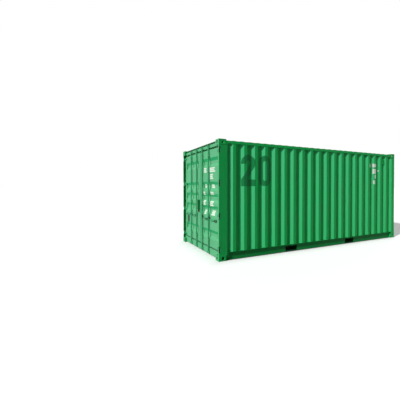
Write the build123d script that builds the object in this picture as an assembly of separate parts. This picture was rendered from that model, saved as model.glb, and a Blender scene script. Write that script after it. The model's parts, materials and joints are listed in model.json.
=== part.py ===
from build123d import *
import math
import os

# A 20 ft dry freight container. Millimetres throughout.
# X runs along the length with the doors at the low end, Y across, Z up from the ground.

# Overall envelope, set by the corner castings
LENGTH = 6058.0
WIDTH = 2438.0
HEIGHT = 2591.0

# Corner castings
CASTING_L = 178.0
CASTING_W = 162.0
CASTING_H = 118.0
CASTING_PLATE = 28.5
CASTING_WALL = 16.0
CASTING_INNER_WALL = 12.0
CASTING_EDGE = 6.0
SLOT_LENGTH = 124.0
SLOT_WIDTH = 63.5
SLOT_FROM_END = 102.5
SLOT_FROM_SIDE = 89.5
SIDE_HOLE_H = 79.5
SIDE_HOLE_W = 63.5
END_HOLE_H = 79.5
END_HOLE_W = 51.0
HOLE_END_FLATS = 4

# Flats on the small round parts
ROUND_SIDES = 10

# Skin of the walls, set back from the faces of the castings
SKIN_INSET = 3.0
POST_SKIN = 6.0

# Rear corner posts: pressed outer skin, inner channel, hinge recesses
REAR_POST_DEPTH = 205.0
REAR_LIP = 31.0
CHANNEL_DEPTH = 113.0
CHANNEL_FLANGE = 40.0
CHANNEL_WALL = 12.0
RECESS_DEPTH = 44.0
RECESS_HEIGHT = 90.0

# Front corner posts
FRONT_POST_DEPTH = 131.0
FRONT_POST_INNER = 65.0
FRONT_POST_LIP = 46.0

# Rails
TOP_RAIL = 60.0
TOP_RAIL_WALL = 3.0
ROOF_DROP = 28.0
BOTTOM_RAIL_Z = 17.0
BOTTOM_RAIL_H = 162.0
BOTTOM_RAIL_TOP = 48.0
BOTTOM_RAIL_FOOT = 30.0
BOTTOM_RAIL_WALL = 4.5
BOTTOM_RAIL_INSET = 5.0
FRONT_SILL_Z = 20.0
FRONT_SILL_H = 145.0
FRONT_SILL_FLANGE = 60.0
FRONT_SILL_WALL = 4.0

# Door frame around the opening
HEADER_FACE = 55.0
HEADER_H = 93.0
HEADER_STOP_DROP = 25.0
HEADER_STOP_DEPTH = 90.0
HEADER_BACK = 175.0
HEADER_WALL = 4.0
SILL_FACE = 55.0
SILL_BOTTOM = 20.0
SILL_H = 145.0
SILL_FLANGE = 95.0
SILL_WALL = 4.5
GUTTER_LIP = 35.0

# Side walls: vertical trapezium corrugation
WALL_SHEET = 2.0
WALL_DEPTH = 36.0
WALL_INNER = 70.0
WALL_SLOPE = 68.0
WALL_OUTER = 73.1
WALL_INSET = 6.0

# Front wall corrugation
END_SHEET = 2.0
END_DEPTH = 45.6
END_OUTER = 110.0
END_SLOPE = 18.0
END_INNER = 104.0
END_INSET = 5.0

# Roof: stamped cross ribs on flat sheet
ROOF_SHEET = 2.0
ROOF_RIB_H = 20.0
ROOF_RIB_TOP = 91.0
ROOF_RIB_SLOPE = 13.5
ROOF_RIB_GAP = 91.0
ROOF_RIB_END = 30.0
ROOF_EDGE = 20.0
ROOF_END_PLATE = 4.0

# Floor and under frame
FLOOR_BOARD = 28.0
FLOOR_GAP = 4.0
BOARD_JOINT = 3.0
BOARD_ROWS = 5
CROSS_H = 122.0
CROSS_FLANGE = 45.0
CROSS_WALL = 4.0
CROSS_SPACING = 305.0

# Fork pockets
POCKET_X = 1040.0
POCKET_W = 360.0
POCKET_H = 115.0
POCKET_TOP_PLATE = 3.0
POCKET_STRAP = 6.0
POCKET_STRAP_RUN = 200.0
POCKET_STRAP_LAP = 60.0

# Ventilators near the top of the side walls
VENT_BAYS_BACK = 1
VENT_DROP = 173.0
VENT_SLOTS = 4
VENT_H = 130.0
VENT_W = 60.0
VENT_T = 22.0
VENT_SLOT = 8.0

# Door leaves
LEAF_FACE = 62.0
LEAF_DEPTH = 50.0
LEAF_BOTTOM_GAP = 35.0
LEAF_TOP_GAP = 15.0
LEAF_CENTRE_GAP = 10.0
LEAF_HINGE_GAP = 20.0
STILE = 100.0
LEAF_TOP_RAIL = 100.0
LEAF_BOTTOM_RAIL = 120.0
LEAF_TUBE_WALL = 3.2
DOOR_SHEET = 2.0
DOOR_DEPTH = 36.0
DOOR_SLOPE = 68.0
DOOR_INNER = 72.0
DOOR_RECESS_FROM_END = 290.0
DOOR_RECESS_PITCH = 275.0

# Door gasket
GASKET_CLEAR = 5.0
GASKET_DEPTH = 17.0
GASKET_CENTRE = 4.0

# Hinges
HINGE_COUNT = 4
HINGE_OVER_LEAF_BOTTOM = 50.0
HINGE_UNDER_LEAF_TOP = 65.0
PIN_DEPTH = 24.0
PIN_INSET = 24.0
PIN_R = 8.0
PIN_CLEAR = 0.3
BARREL_R = 18.0
BLADE_H = 50.0
BLADE_T = 12.0
BLADE_LEG = 20.0
BLADE_REACH = 110.0
LUG_T = 16.0
LUG_GAP = 2.0
LUG_W = 27.0

# Locking bars, two to a leaf
BAR_FROM_LEAF_EDGE = 180.0
BAR_SPACING = 400.0
BAR_DEPTH = 28.0
BAR_R = 17.0
BAR_WALL = 4.0
BAR_BELOW_SILL = 95.0
BAR_OVER_HEADER = 42.0
CAM_REACH = 22.0
CAM_W = 20.0
CAM_EDGE = 6.0
CAM_H = 36.0

# Cam keepers on header and sill
KEEPER_GAP = 27.0
KEEPER_T = 8.0
KEEPER_FRONT = 14.0
KEEPER_H = 58.0
KEEPER_END_GAP = 12.0

# Bar guide brackets on the leaves
GUIDE_OVER_LEAF_BOTTOM = 154.0
GUIDE_OVER_HANDLE = 308.0
GUIDE_UNDER_LEAF_TOP = 140.0
GUIDE_CLEAR = 0.3
GUIDE_T = 6.0
GUIDE_W = 50.0
GUIDE_H = 60.0
GUIDE_STRAP = 32.0

# Handles, their pivots and their retainers
HANDLE_OVER_LEAF_BOTTOM = 670.0
HANDLE_PIN_Y = 38.0
HANDLE_PIN_R = 5.0
HANDLE_PIN_CLEAR = 0.3
HANDLE_BOSS_R = 13.0
HANDLE_T = 10.0
HANDLE_W = 26.0
HANDLE_DROP = 40.0
HANDLE_KNEE = 50.0
HANDLE_TIP_FROM_BAR = 72.0
HANDLE_TIP_FROM_LEAF_EDGE = 142.0
CLEVIS_GAP = 1.5
CLEVIS_T = 6.0
CLEVIS_R = 15.0
RETAINER_SETBACK = 60.0
RETAINER_W = 50.0
RETAINER_BASE = 6.0
RETAINER_SHELF = 6.0
RETAINER_CLEAR = 5.0
RETAINER_RISE = 44.0
RETAINER_FRONT = 20.0

# Lock box on the left leaf, and the bare data plate
LOCK_BOX_FROM_LEAF_EDGE = 16.0
LOCK_BOX_W = 132.0
LOCK_BOX_OVER_HANDLE = 143.0
LOCK_BOX_H = 242.0
LOCK_BOX_FRONT = 2.0
LOCK_BOX_WALL = 4.0
PLATE_FROM_LEAF_EDGE = 180.0
PLATE_W = 150.0
PLATE_OVER_LEAF_BOTTOM = 400.0
PLATE_H = 190.0
PLATE_T = 3.0

REAR = -LENGTH / 2
FRONT = LENGTH / 2
SIDE = WIDTH / 2
CASTING_IN_X = FRONT - CASTING_L
CASTING_IN_Y = SIDE - CASTING_W
CASTING_TOP_Z = HEIGHT - CASTING_H
SKIN_Y = SIDE - SKIN_INSET
CHANNEL_OUT_Y = SKIN_Y - POST_SKIN
OPENING_Y = CHANNEL_OUT_Y - CHANNEL_FLANGE
REAR_POST_X = REAR + REAR_POST_DEPTH
CHANNEL_FRONT_X = REAR_POST_X - CHANNEL_DEPTH
FRONT_POST_X = FRONT - FRONT_POST_DEPTH
FRONT_POST_IN_X = FRONT - FRONT_POST_INNER
ROOF_Z = HEIGHT - ROOF_DROP
TOP_RAIL_Z = ROOF_Z - TOP_RAIL
BOTTOM_RAIL_TOP_Z = BOTTOM_RAIL_Z + BOTTOM_RAIL_H
RAIL_OUT_Y = SIDE - BOTTOM_RAIL_INSET
RAIL_WEB_Y = RAIL_OUT_Y - BOTTOM_RAIL_TOP
WALL_OUT_Y = SIDE - WALL_INSET
WALL_PITCH = WALL_INNER + WALL_OUTER + 2 * WALL_SLOPE
END_WALL_X = FRONT - END_INSET
FRONT_SILL_TOP = FRONT_SILL_Z + FRONT_SILL_H
HEADER_BOTTOM_Z = ROOF_Z - HEADER_H
HEADER_STOP_Z = HEADER_BOTTOM_Z - HEADER_STOP_DROP
SILL_TOP_Z = SILL_BOTTOM + SILL_H
LEAF_X = REAR + LEAF_FACE
LEAF_BACK_X = LEAF_X + LEAF_DEPTH
LEAF_IN_Y = LEAF_CENTRE_GAP
LEAF_OUT_Y = OPENING_Y - LEAF_HINGE_GAP
LEAF_BOTTOM_Z = SILL_TOP_Z + LEAF_BOTTOM_GAP
LEAF_TOP_Z = HEADER_STOP_Z - LEAF_TOP_GAP
PIN_X = REAR + PIN_DEPTH
PIN_Y = SIDE - PIN_INSET
BAR_X = REAR + BAR_DEPTH
BAR_INNER_Y = LEAF_IN_Y + BAR_FROM_LEAF_EDGE
BAR_OUTER_Y = BAR_INNER_Y + BAR_SPACING
BAR_BOTTOM_Z = SILL_TOP_Z - BAR_BELOW_SILL
BAR_TOP_Z = HEADER_BOTTOM_Z + BAR_OVER_HEADER
CROSS_TOP = BOTTOM_RAIL_Z + CROSS_H
FLOOR_TOP = CROSS_TOP + FLOOR_BOARD
FLOOR_REAR_X = REAR + SILL_FACE + SILL_FLANGE
FLOOR_FRONT_X = END_WALL_X - FRONT_SILL_FLANGE
HANDLE_Z = LEAF_BOTTOM_Z + HANDLE_OVER_LEAF_BOTTOM
HANDLE_ARM_Z = HANDLE_Z - HANDLE_DROP
HANDLE_INNER_TIP_Y = BAR_OUTER_Y - HANDLE_TIP_FROM_BAR
HANDLE_OUTER_TIP_Y = LEAF_OUT_Y - HANDLE_TIP_FROM_LEAF_EDGE


def block(x0, x1, y0, y1, z0, z1):
    """A block between two opposite corners."""
    centre = Pos((x0 + x1) / 2, (y0 + y1) / 2, (z0 + z1) / 2)
    return centre * Box(abs(x1 - x0), abs(y1 - y0), abs(z1 - z0))


def upright(outline, z0, z1):
    """An outline drawn in plan, raised from z0 to z1."""
    return Pos(0, 0, z0) * extrude(outline, amount=z1 - z0, dir=(0, 0, 1))


def crosswise(outline, y0, y1):
    """An outline drawn in X and Z, run across the width from y0 to y1."""
    plane = Plane(origin=(0, y0, 0), x_dir=(1, 0, 0), z_dir=(0, -1, 0))
    return extrude(plane * outline, amount=y1 - y0, dir=(0, 1, 0))


def lengthwise(outline, x0, x1):
    """An outline drawn in Y and Z, run along the length from x0 to x1."""
    plane = Plane(origin=(x0, 0, 0), x_dir=(0, 1, 0), z_dir=(1, 0, 0))
    return extrude(plane * outline, amount=x1 - x0, dir=(1, 0, 0))


def shape(*points):
    """A flat outline through its corner points."""
    return make_face(Polyline(*points, close=True))


def sheet(points, thickness):
    """Folded sheet of even thickness, laid on the left of the path through the points."""
    corners = [Vector(*point) for point in points]
    runs = [(after - before).normalized() for before, after in zip(corners, corners[1:])]
    normals = [Vector(-run.Y, run.X) for run in runs]
    shifted = []
    for corner, before, after in zip(corners, [normals[0], *normals], [*normals, normals[-1]]):
        mitre = (before + after).normalized()
        shifted.append(corner + mitre * (thickness / mitre.dot(before)))
    return shape(*corners, *reversed(shifted))


def rounded(radius):
    """A small round section drawn in flats, its corners on the circle."""
    return RegularPolygon(radius, ROUND_SIDES)


def round_hole(radius):
    """A small round hole drawn in flats that touch the circle from outside."""
    return RegularPolygon(radius, ROUND_SIDES, major_radius=False)


def upright_oval(height, width):
    """An oval hole standing on end, each round end drawn in a few flats."""
    radius = width / 2
    lift = (height - width) / 2
    turns = [math.pi * i / HOLE_END_FLATS for i in range(HOLE_END_FLATS + 1)]
    upper = [(radius * math.cos(turn), lift + radius * math.sin(turn)) for turn in turns]
    return shape(*upper, *[(-x, -y) for x, y in upper])


def other_side(part):
    """The same piece on the other side of the length axis."""
    return mirror(part, about=Plane.XZ)


def other_end(part):
    """The same piece at the other end of the container."""
    return mirror(part, about=Plane.YZ)


def spaced(start, end, spacing):
    """Even stations strictly between two lines, no further apart than the spacing."""
    count = math.ceil((end - start) / spacing)
    step = (end - start) / count
    return [start + step * i for i in range(1, count)]


def save(name, part):
    export_step(part, os.path.join("parts", name + ".step"))


def corner_casting(top):
    """One hollow corner casting of the front left corner, with its three holes."""
    base = CASTING_TOP_Z if top else 0.0
    body = block(CASTING_IN_X, FRONT, CASTING_IN_Y, SIDE, base, base + CASTING_H)
    outer_edge = body.edges().filter_by(Axis.Z).sort_by(lambda e: e.center().X + e.center().Y)[-1]
    body = chamfer(outer_edge, CASTING_EDGE)
    low = base + (CASTING_INNER_WALL if top else CASTING_PLATE)
    high = base + CASTING_H - (CASTING_PLATE if top else CASTING_INNER_WALL)
    body -= block(
        CASTING_IN_X + CASTING_INNER_WALL,
        FRONT - CASTING_WALL,
        CASTING_IN_Y + CASTING_INNER_WALL,
        SIDE - CASTING_WALL,
        low,
        high,
    )
    slot_x = FRONT - SLOT_FROM_END
    slot_y = SIDE - SLOT_FROM_SIDE
    middle = (low + high) / 2
    slot = Pos(slot_x, slot_y) * SlotOverall(SLOT_LENGTH, SLOT_WIDTH)
    if top:
        body -= upright(slot, middle, base + CASTING_H)
    else:
        body -= upright(slot, base, middle)
    hole_z = base + CASTING_H / 2
    side_hole = Pos(slot_x, hole_z) * upright_oval(SIDE_HOLE_H, SIDE_HOLE_W)
    body -= crosswise(side_hole, slot_y, SIDE)
    end_hole = Pos(slot_y, hole_z) * upright_oval(END_HOLE_H, END_HOLE_W)
    body -= lengthwise(end_hole, slot_x, FRONT)
    return body


def hinge_levels():
    """Even levels of the hinges along the leaf."""
    low = LEAF_BOTTOM_Z + HINGE_OVER_LEAF_BOTTOM
    high = LEAF_TOP_Z - HINGE_UNDER_LEAF_TOP
    step = (high - low) / (HINGE_COUNT - 1)
    return [low + step * i for i in range(HINGE_COUNT)]


def hinge_lugs(level):
    """Two lugs and the pin between them at one hinge of the left rear post."""
    nose = Pos(PIN_X, PIN_Y) * rounded(BARREL_R)
    foot_y = CHANNEL_OUT_Y - LUG_W
    foot = shape(
        (PIN_X, foot_y), (CHANNEL_FRONT_X, foot_y),
        (CHANNEL_FRONT_X, CHANNEL_OUT_Y), (PIN_X, CHANNEL_OUT_Y),
    )
    profile = nose + foot
    inner = BLADE_H / 2 + LUG_GAP
    outer = inner + LUG_T
    upper = upright(profile, level + inner, level + outer)
    lower = upright(profile, level - outer, level - inner)
    pin = upright(Pos(PIN_X, PIN_Y) * rounded(PIN_R), level - outer, level + outer)
    return upper + lower + pin


def rear_corner_post():
    """Left rear post: outer skin, inner channel and the four pairs of hinge lugs."""
    lip_y = SKIN_Y - REAR_LIP
    lip_x = REAR + SKIN_INSET
    skin = sheet([(REAR_POST_X, SKIN_Y), (lip_x, SKIN_Y), (lip_x, lip_y)], POST_SKIN)
    channel = shape(
        (CHANNEL_FRONT_X, CHANNEL_OUT_Y),
        (CHANNEL_FRONT_X, OPENING_Y),
        (REAR_POST_X, OPENING_Y),
        (REAR_POST_X, CHANNEL_OUT_Y),
        (REAR_POST_X - CHANNEL_WALL, CHANNEL_OUT_Y),
        (REAR_POST_X - CHANNEL_WALL, OPENING_Y + CHANNEL_WALL),
        (CHANNEL_FRONT_X + CHANNEL_WALL, OPENING_Y + CHANNEL_WALL),
        (CHANNEL_FRONT_X + CHANNEL_WALL, CHANNEL_OUT_Y),
    )
    post = upright(skin, CASTING_H, TOP_RAIL_Z) + upright(channel, CASTING_H, TOP_RAIL_Z)
    post -= block(REAR, -CASTING_IN_X, 0, SIDE, CASTING_TOP_Z, HEIGHT)
    half = RECESS_HEIGHT / 2
    for level in hinge_levels():
        post -= block(REAR, REAR + RECESS_DEPTH, 0, SIDE, level - half, level + half)
        post += hinge_lugs(level)
    return post


def front_corner_post():
    """Left front post, a closed five sided pressing."""
    outer = shape(
        (FRONT_POST_X, SKIN_Y),
        (FRONT - SKIN_INSET, SKIN_Y),
        (FRONT - SKIN_INSET, CASTING_IN_Y),
        (FRONT_POST_IN_X, CASTING_IN_Y),
        (FRONT_POST_X, SKIN_Y - FRONT_POST_LIP),
    )
    hollow = offset(outer, amount=-POST_SKIN, kind=Kind.INTERSECTION)
    return upright(outer - hollow, CASTING_H, CASTING_TOP_Z)


def top_side_rail():
    """Square tube between the left top castings."""
    tube = Rectangle(TOP_RAIL, TOP_RAIL) - Rectangle(
        TOP_RAIL - 2 * TOP_RAIL_WALL, TOP_RAIL - 2 * TOP_RAIL_WALL
    )
    centre = Pos(SKIN_Y - TOP_RAIL / 2, ROOF_Z - TOP_RAIL / 2)
    return lengthwise(centre * tube, -CASTING_IN_X, CASTING_IN_X)


def front_top_rail():
    """Square tube across the front between the top castings."""
    tube = Rectangle(TOP_RAIL, TOP_RAIL) - Rectangle(
        TOP_RAIL - 2 * TOP_RAIL_WALL, TOP_RAIL - 2 * TOP_RAIL_WALL
    )
    centre = Pos(FRONT - SKIN_INSET - TOP_RAIL / 2, ROOF_Z - TOP_RAIL / 2)
    return crosswise(centre * tube, -CASTING_IN_Y, CASTING_IN_Y)


def bottom_side_rail():
    """Left bottom rail, a channel open to the outside, cut away at the fork pockets."""
    foot_y = RAIL_WEB_Y + BOTTOM_RAIL_FOOT
    channel = sheet(
        [
            (RAIL_OUT_Y, BOTTOM_RAIL_TOP_Z - BOTTOM_RAIL_WALL),
            (RAIL_WEB_Y + BOTTOM_RAIL_WALL, BOTTOM_RAIL_TOP_Z - BOTTOM_RAIL_WALL),
            (RAIL_WEB_Y + BOTTOM_RAIL_WALL, BOTTOM_RAIL_Z + BOTTOM_RAIL_WALL),
            (foot_y, BOTTOM_RAIL_Z + BOTTOM_RAIL_WALL),
        ],
        -BOTTOM_RAIL_WALL,
    )
    rail = lengthwise(channel, -CASTING_IN_X, FRONT_POST_X)
    rail -= block(REAR, REAR_POST_X, 0, SIDE, CASTING_H, HEIGHT)
    rail -= block(CASTING_IN_X, FRONT, 0, SIDE, 0, CASTING_H)
    half = POCKET_W / 2
    for x in (-POCKET_X, POCKET_X):
        rail -= block(x - half, x + half, 0, SIDE, 0, BOTTOM_RAIL_Z + POCKET_H)
    return rail


def front_bottom_rail():
    """Channel under the front wall, open to the inside."""
    back = END_WALL_X - FRONT_SILL_FLANGE
    channel = sheet(
        [
            (back, FRONT_SILL_Z), (END_WALL_X, FRONT_SILL_Z),
            (END_WALL_X, FRONT_SILL_TOP), (back, FRONT_SILL_TOP),
        ],
        FRONT_SILL_WALL,
    )
    return crosswise(channel, -CASTING_IN_Y, CASTING_IN_Y)


def door_header():
    """Box section over the doors, with the step that the gaskets close against."""
    face_x = REAR + HEADER_FACE
    stop_x = REAR + HEADER_STOP_DEPTH
    back_x = REAR + HEADER_BACK
    outer = shape(
        (face_x, ROOF_Z), (face_x, HEADER_BOTTOM_Z), (stop_x, HEADER_BOTTOM_Z),
        (stop_x, HEADER_STOP_Z), (back_x, HEADER_STOP_Z), (back_x, ROOF_Z),
    )
    hollow = offset(outer, amount=-HEADER_WALL, kind=Kind.INTERSECTION)
    header = crosswise(outer - hollow, -OPENING_Y, OPENING_Y)
    casting = block(REAR, FRONT, CASTING_IN_Y, SIDE, CASTING_TOP_Z, HEIGHT)
    return header - casting - other_side(casting)


def door_sill():
    """Channel under the doors, open to the inside."""
    face_x = REAR + SILL_FACE
    back_x = face_x + SILL_FLANGE
    channel = sheet(
        [(back_x, SILL_TOP_Z), (face_x, SILL_TOP_Z), (face_x, SILL_BOTTOM), (back_x, SILL_BOTTOM)],
        SILL_WALL,
    )
    sill = crosswise(channel, -OPENING_Y, OPENING_Y)
    casting = block(REAR, FRONT, CASTING_IN_Y, SIDE, 0, CASTING_H)
    return sill - casting - other_side(casting)


def side_wall():
    """Left side wall, one sheet folded into upright corrugations."""
    inner_y = WALL_OUT_Y - WALL_DEPTH
    x = REAR_POST_X
    points = [(x, inner_y)]
    while x + WALL_PITCH <= FRONT_POST_X:
        points.append((x + WALL_INNER, inner_y))
        points.append((x + WALL_INNER + WALL_SLOPE, WALL_OUT_Y))
        points.append((x + WALL_PITCH - WALL_SLOPE, WALL_OUT_Y))
        points.append((x + WALL_PITCH, inner_y))
        x += WALL_PITCH
    if x + WALL_INNER + WALL_SLOPE < FRONT_POST_X:
        points.append((x + WALL_INNER, inner_y))
        points.append((x + WALL_INNER + WALL_SLOPE, WALL_OUT_Y))
        points.append((FRONT_POST_X, WALL_OUT_Y))
    elif x < FRONT_POST_X:
        points.append((FRONT_POST_X, inner_y))
    wall = upright(sheet(points, -WALL_SHEET), BOTTOM_RAIL_TOP_Z, TOP_RAIL_Z)
    return wall - block(CASTING_IN_X, FRONT, 0, SIDE, CASTING_TOP_Z, HEIGHT)


def front_wall():
    """Front wall, one sheet folded into upright corrugations."""
    inner_x = END_WALL_X - END_DEPTH
    pitch = END_OUTER + END_INNER + 2 * END_SLOPE
    count = int((2 * CASTING_IN_Y - END_OUTER) // pitch)
    points = [(END_WALL_X, -CASTING_IN_Y)]
    y = -count * pitch / 2
    for _ in range(count):
        points.append((END_WALL_X, y + END_OUTER / 2))
        points.append((inner_x, y + END_OUTER / 2 + END_SLOPE))
        points.append((inner_x, y + END_OUTER / 2 + END_SLOPE + END_INNER))
        points.append((END_WALL_X, y + pitch - END_OUTER / 2))
        y += pitch
    points.append((END_WALL_X, CASTING_IN_Y))
    return upright(sheet(points, END_SHEET), FRONT_SILL_TOP, TOP_RAIL_Z)


def roof_rib(x, drop):
    """One stamped rib, or the hollow under it when dropped by the sheet thickness."""
    half_y = SKIN_Y - TOP_RAIL - ROOF_RIB_END
    half_top = ROOF_RIB_TOP / 2
    foot = Rectangle(2 * (half_top + ROOF_RIB_SLOPE), 2 * (half_y + ROOF_RIB_SLOPE))
    crest = Rectangle(2 * half_top, 2 * half_y)
    base = ROOF_Z + ROOF_SHEET - drop
    rib = loft([Pos(x, 0, base) * foot, Pos(x, 0, base + ROOF_RIB_H) * crest])
    return rib


def roof():
    """Flat roof sheet with a row of stamped cross ribs."""
    half_x = CASTING_IN_X
    half_y = SKIN_Y - ROOF_EDGE
    plate = block(-half_x, half_x, -half_y, half_y, ROOF_Z, ROOF_Z + ROOF_SHEET)
    pitch = ROOF_RIB_TOP + 2 * ROOF_RIB_SLOPE + ROOF_RIB_GAP
    count = int((2 * half_x - ROOF_RIB_GAP) // pitch)
    first = -(count - 1) * pitch / 2
    stations = [first + pitch * i for i in range(count)]
    plate += [roof_rib(x, 0) for x in stations]
    plate -= [roof_rib(x, ROOF_SHEET) for x in stations]
    return plate


def roof_end_plates():
    """Thicker plates between the top castings, the rear one also the rain lip."""
    z1 = ROOF_Z + ROOF_END_PLATE
    rear_edge = REAR + HEADER_FACE - GUTTER_LIP
    rear = block(rear_edge, -CASTING_IN_X, -CASTING_IN_Y, CASTING_IN_Y, ROOF_Z, z1)
    front_edge = FRONT - SKIN_INSET
    front = block(CASTING_IN_X, front_edge, -CASTING_IN_Y, CASTING_IN_Y, ROOF_Z, z1)
    return Compound([rear, front])


def floor_boards():
    """Plywood boards in rows, two to a row, cut around the front posts."""
    half_y = RAIL_WEB_Y - FLOOR_GAP
    length = FLOOR_FRONT_X - FLOOR_REAR_X
    row = (length - (BOARD_ROWS - 1) * BOARD_JOINT) / BOARD_ROWS
    corner = block(FRONT_POST_X - FLOOR_GAP, FRONT, CASTING_IN_Y - FLOOR_GAP, SIDE, 0, HEIGHT)
    boards = []
    for i in range(BOARD_ROWS):
        x0 = FLOOR_REAR_X + i * (row + BOARD_JOINT)
        left = block(x0, x0 + row, BOARD_JOINT / 2, half_y, CROSS_TOP, FLOOR_TOP)
        left -= corner
        boards.append(left)
        boards.append(other_side(left))
    return Compound(boards)


def cross_profile(x):
    """Channel outline of a cross member with its web towards the doors."""
    return sheet(
        [
            (x + CROSS_FLANGE, CROSS_TOP), (x, CROSS_TOP),
            (x, BOTTOM_RAIL_Z), (x + CROSS_FLANGE, BOTTOM_RAIL_Z),
        ],
        CROSS_WALL,
    )


def cross_members():
    """Cross members between the bottom rails, clear of the fork pockets."""
    half = POCKET_W / 2
    bays = (
        (FLOOR_REAR_X, -POCKET_X - half),
        (-POCKET_X + half, POCKET_X - half),
        (POCKET_X + half, FLOOR_FRONT_X),
    )
    beams = []
    for start, end in bays:
        for x in spaced(start, end, CROSS_SPACING):
            web_x = x - CROSS_FLANGE / 2
            beams.append(crosswise(cross_profile(web_x), -RAIL_WEB_Y, RAIL_WEB_Y))
    return Compound(beams)


def fork_pocket(x):
    """One fork pocket: two channels back to back, a full top plate and end straps."""
    half = POCKET_W / 2
    after = crosswise(cross_profile(x + half), -RAIL_WEB_Y, RAIL_WEB_Y)
    before = crosswise(mirror(cross_profile(half - x), about=Plane.YZ), -RAIL_WEB_Y, RAIL_WEB_Y)
    top_z = BOTTOM_RAIL_Z + POCKET_H
    top = block(x - half, x + half, -RAIL_WEB_Y, RAIL_WEB_Y, top_z, top_z + POCKET_TOP_PLATE)
    pocket = after + before + top
    reach = half + POCKET_STRAP_LAP
    strap_out = RAIL_WEB_Y + BOTTOM_RAIL_FOOT
    strap = block(
        x - reach, x + reach, strap_out - POCKET_STRAP_RUN, strap_out,
        BOTTOM_RAIL_Z - POCKET_STRAP, BOTTOM_RAIL_Z,
    )
    return pocket + strap + other_side(strap)


def vent():
    """Ventilator hood on the left wall with a row of slots."""
    bays = int((FRONT_POST_X - REAR_POST_X) // WALL_PITCH)
    x = REAR_POST_X + (bays - VENT_BAYS_BACK) * WALL_PITCH + WALL_INNER / 2
    middle = TOP_RAIL_Z - VENT_DROP
    back_y = WALL_OUT_Y - WALL_DEPTH
    half = VENT_W / 2
    hood = block(x - half, x + half, back_y, back_y + VENT_T, middle - VENT_H / 2, middle + VENT_H / 2)
    pitch = 3 * VENT_SLOT
    for i in range(VENT_SLOTS):
        z = middle + (i - VENT_SLOTS / 2) * pitch + VENT_SLOT
        slot_y = back_y + VENT_SLOT
        hood -= block(x - half + VENT_SLOT, x + half - VENT_SLOT, slot_y, SIDE, z, z + VENT_SLOT)
    return hood


def keeper(y, end_z, up):
    """Keeper with two cheeks and a closed end around one cam."""
    outer = KEEPER_GAP + KEEPER_T
    face_x = REAR + (HEADER_FACE if up else SILL_FACE)
    front_x = REAR + KEEPER_FRONT
    far = end_z + KEEPER_END_GAP + KEEPER_T if up else end_z - KEEPER_END_GAP - KEEPER_T
    near = far - KEEPER_H if up else far + KEEPER_H
    stop = far - KEEPER_T if up else far + KEEPER_T
    body = block(front_x, face_x, y - outer, y + outer, near, far)
    return body - block(front_x, face_x, y - KEEPER_GAP, y + KEEPER_GAP, near, stop)


def keeper_row(end_z, up):
    """The four keepers of the bars on the header or on the sill."""
    stations = (-BAR_OUTER_Y, -BAR_INNER_Y, BAR_INNER_Y, BAR_OUTER_Y)
    return Compound([keeper(y, end_z, up) for y in stations])


def leaf_frame():
    """Hollow frame of the left leaf."""
    outer = block(LEAF_X, LEAF_BACK_X, LEAF_IN_Y, LEAF_OUT_Y, LEAF_BOTTOM_Z, LEAF_TOP_Z)
    opening = block(
        LEAF_X, LEAF_BACK_X, LEAF_IN_Y + STILE, LEAF_OUT_Y - STILE,
        LEAF_BOTTOM_Z + LEAF_BOTTOM_RAIL, LEAF_TOP_Z - LEAF_TOP_RAIL,
    )
    t = LEAF_TUBE_WALL
    bore = block(
        LEAF_X + t, LEAF_BACK_X - t, LEAF_IN_Y + t, LEAF_OUT_Y - t,
        LEAF_BOTTOM_Z + t, LEAF_TOP_Z - t,
    )
    core = block(
        LEAF_X, LEAF_BACK_X, LEAF_IN_Y + STILE - t, LEAF_OUT_Y - STILE + t,
        LEAF_BOTTOM_Z + LEAF_BOTTOM_RAIL - t, LEAF_TOP_Z - LEAF_TOP_RAIL + t,
    )
    return outer - opening - (bore - core)


def recess_levels():
    """Centres of the level recesses of a leaf, three of them close about its middle."""
    low = LEAF_BOTTOM_Z + DOOR_RECESS_FROM_END
    high = LEAF_TOP_Z - DOOR_RECESS_FROM_END
    middle = (low + high) / 2
    return (low, middle - DOOR_RECESS_PITCH, middle, middle + DOOR_RECESS_PITCH, high)


def leaf_panel():
    """Panel of the left leaf with its level recesses."""
    bottom = LEAF_BOTTOM_Z + LEAF_BOTTOM_RAIL
    top = LEAF_TOP_Z - LEAF_TOP_RAIL
    half = DOOR_INNER / 2
    points = [(LEAF_X, bottom)]
    for z in recess_levels():
        points.append((LEAF_X, z - half - DOOR_SLOPE))
        points.append((LEAF_X + DOOR_DEPTH, z - half))
        points.append((LEAF_X + DOOR_DEPTH, z + half))
        points.append((LEAF_X, z + half + DOOR_SLOPE))
    points.append((LEAF_X, top))
    return crosswise(sheet(points, -DOOR_SHEET), LEAF_IN_Y + STILE, LEAF_OUT_Y - STILE)


def leaf_gasket():
    """Seal around the back edge of the left leaf."""
    front_x = LEAF_BACK_X - GASKET_DEPTH
    ring = block(
        front_x, LEAF_BACK_X, LEAF_IN_Y - GASKET_CENTRE, OPENING_Y - GASKET_CLEAR,
        SILL_TOP_Z + GASKET_CLEAR, HEADER_STOP_Z - GASKET_CLEAR,
    )
    return ring - block(front_x, LEAF_BACK_X, LEAF_IN_Y, LEAF_OUT_Y, LEAF_BOTTOM_Z, LEAF_TOP_Z)


def hinge_blade(level):
    """Blade of one hinge on the left leaf, cranked around the edge of the post."""
    barrel = Pos(PIN_X, PIN_Y) * rounded(BARREL_R)
    half = BLADE_LEG / 2
    leg = shape(
        (PIN_X, PIN_Y - half), (LEAF_X, PIN_Y - half), (LEAF_X, PIN_Y + half), (PIN_X, PIN_Y + half),
    )
    back = LEAF_OUT_Y - BLADE_REACH
    blade = shape(
        (LEAF_X - BLADE_T, back), (LEAF_X, back), (LEAF_X, PIN_Y), (LEAF_X - BLADE_T, PIN_Y),
    )
    profile = barrel + leg + blade - Pos(PIN_X, PIN_Y) * round_hole(PIN_R + PIN_CLEAR)
    return upright(profile, level - BLADE_H / 2, level + BLADE_H / 2)


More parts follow.
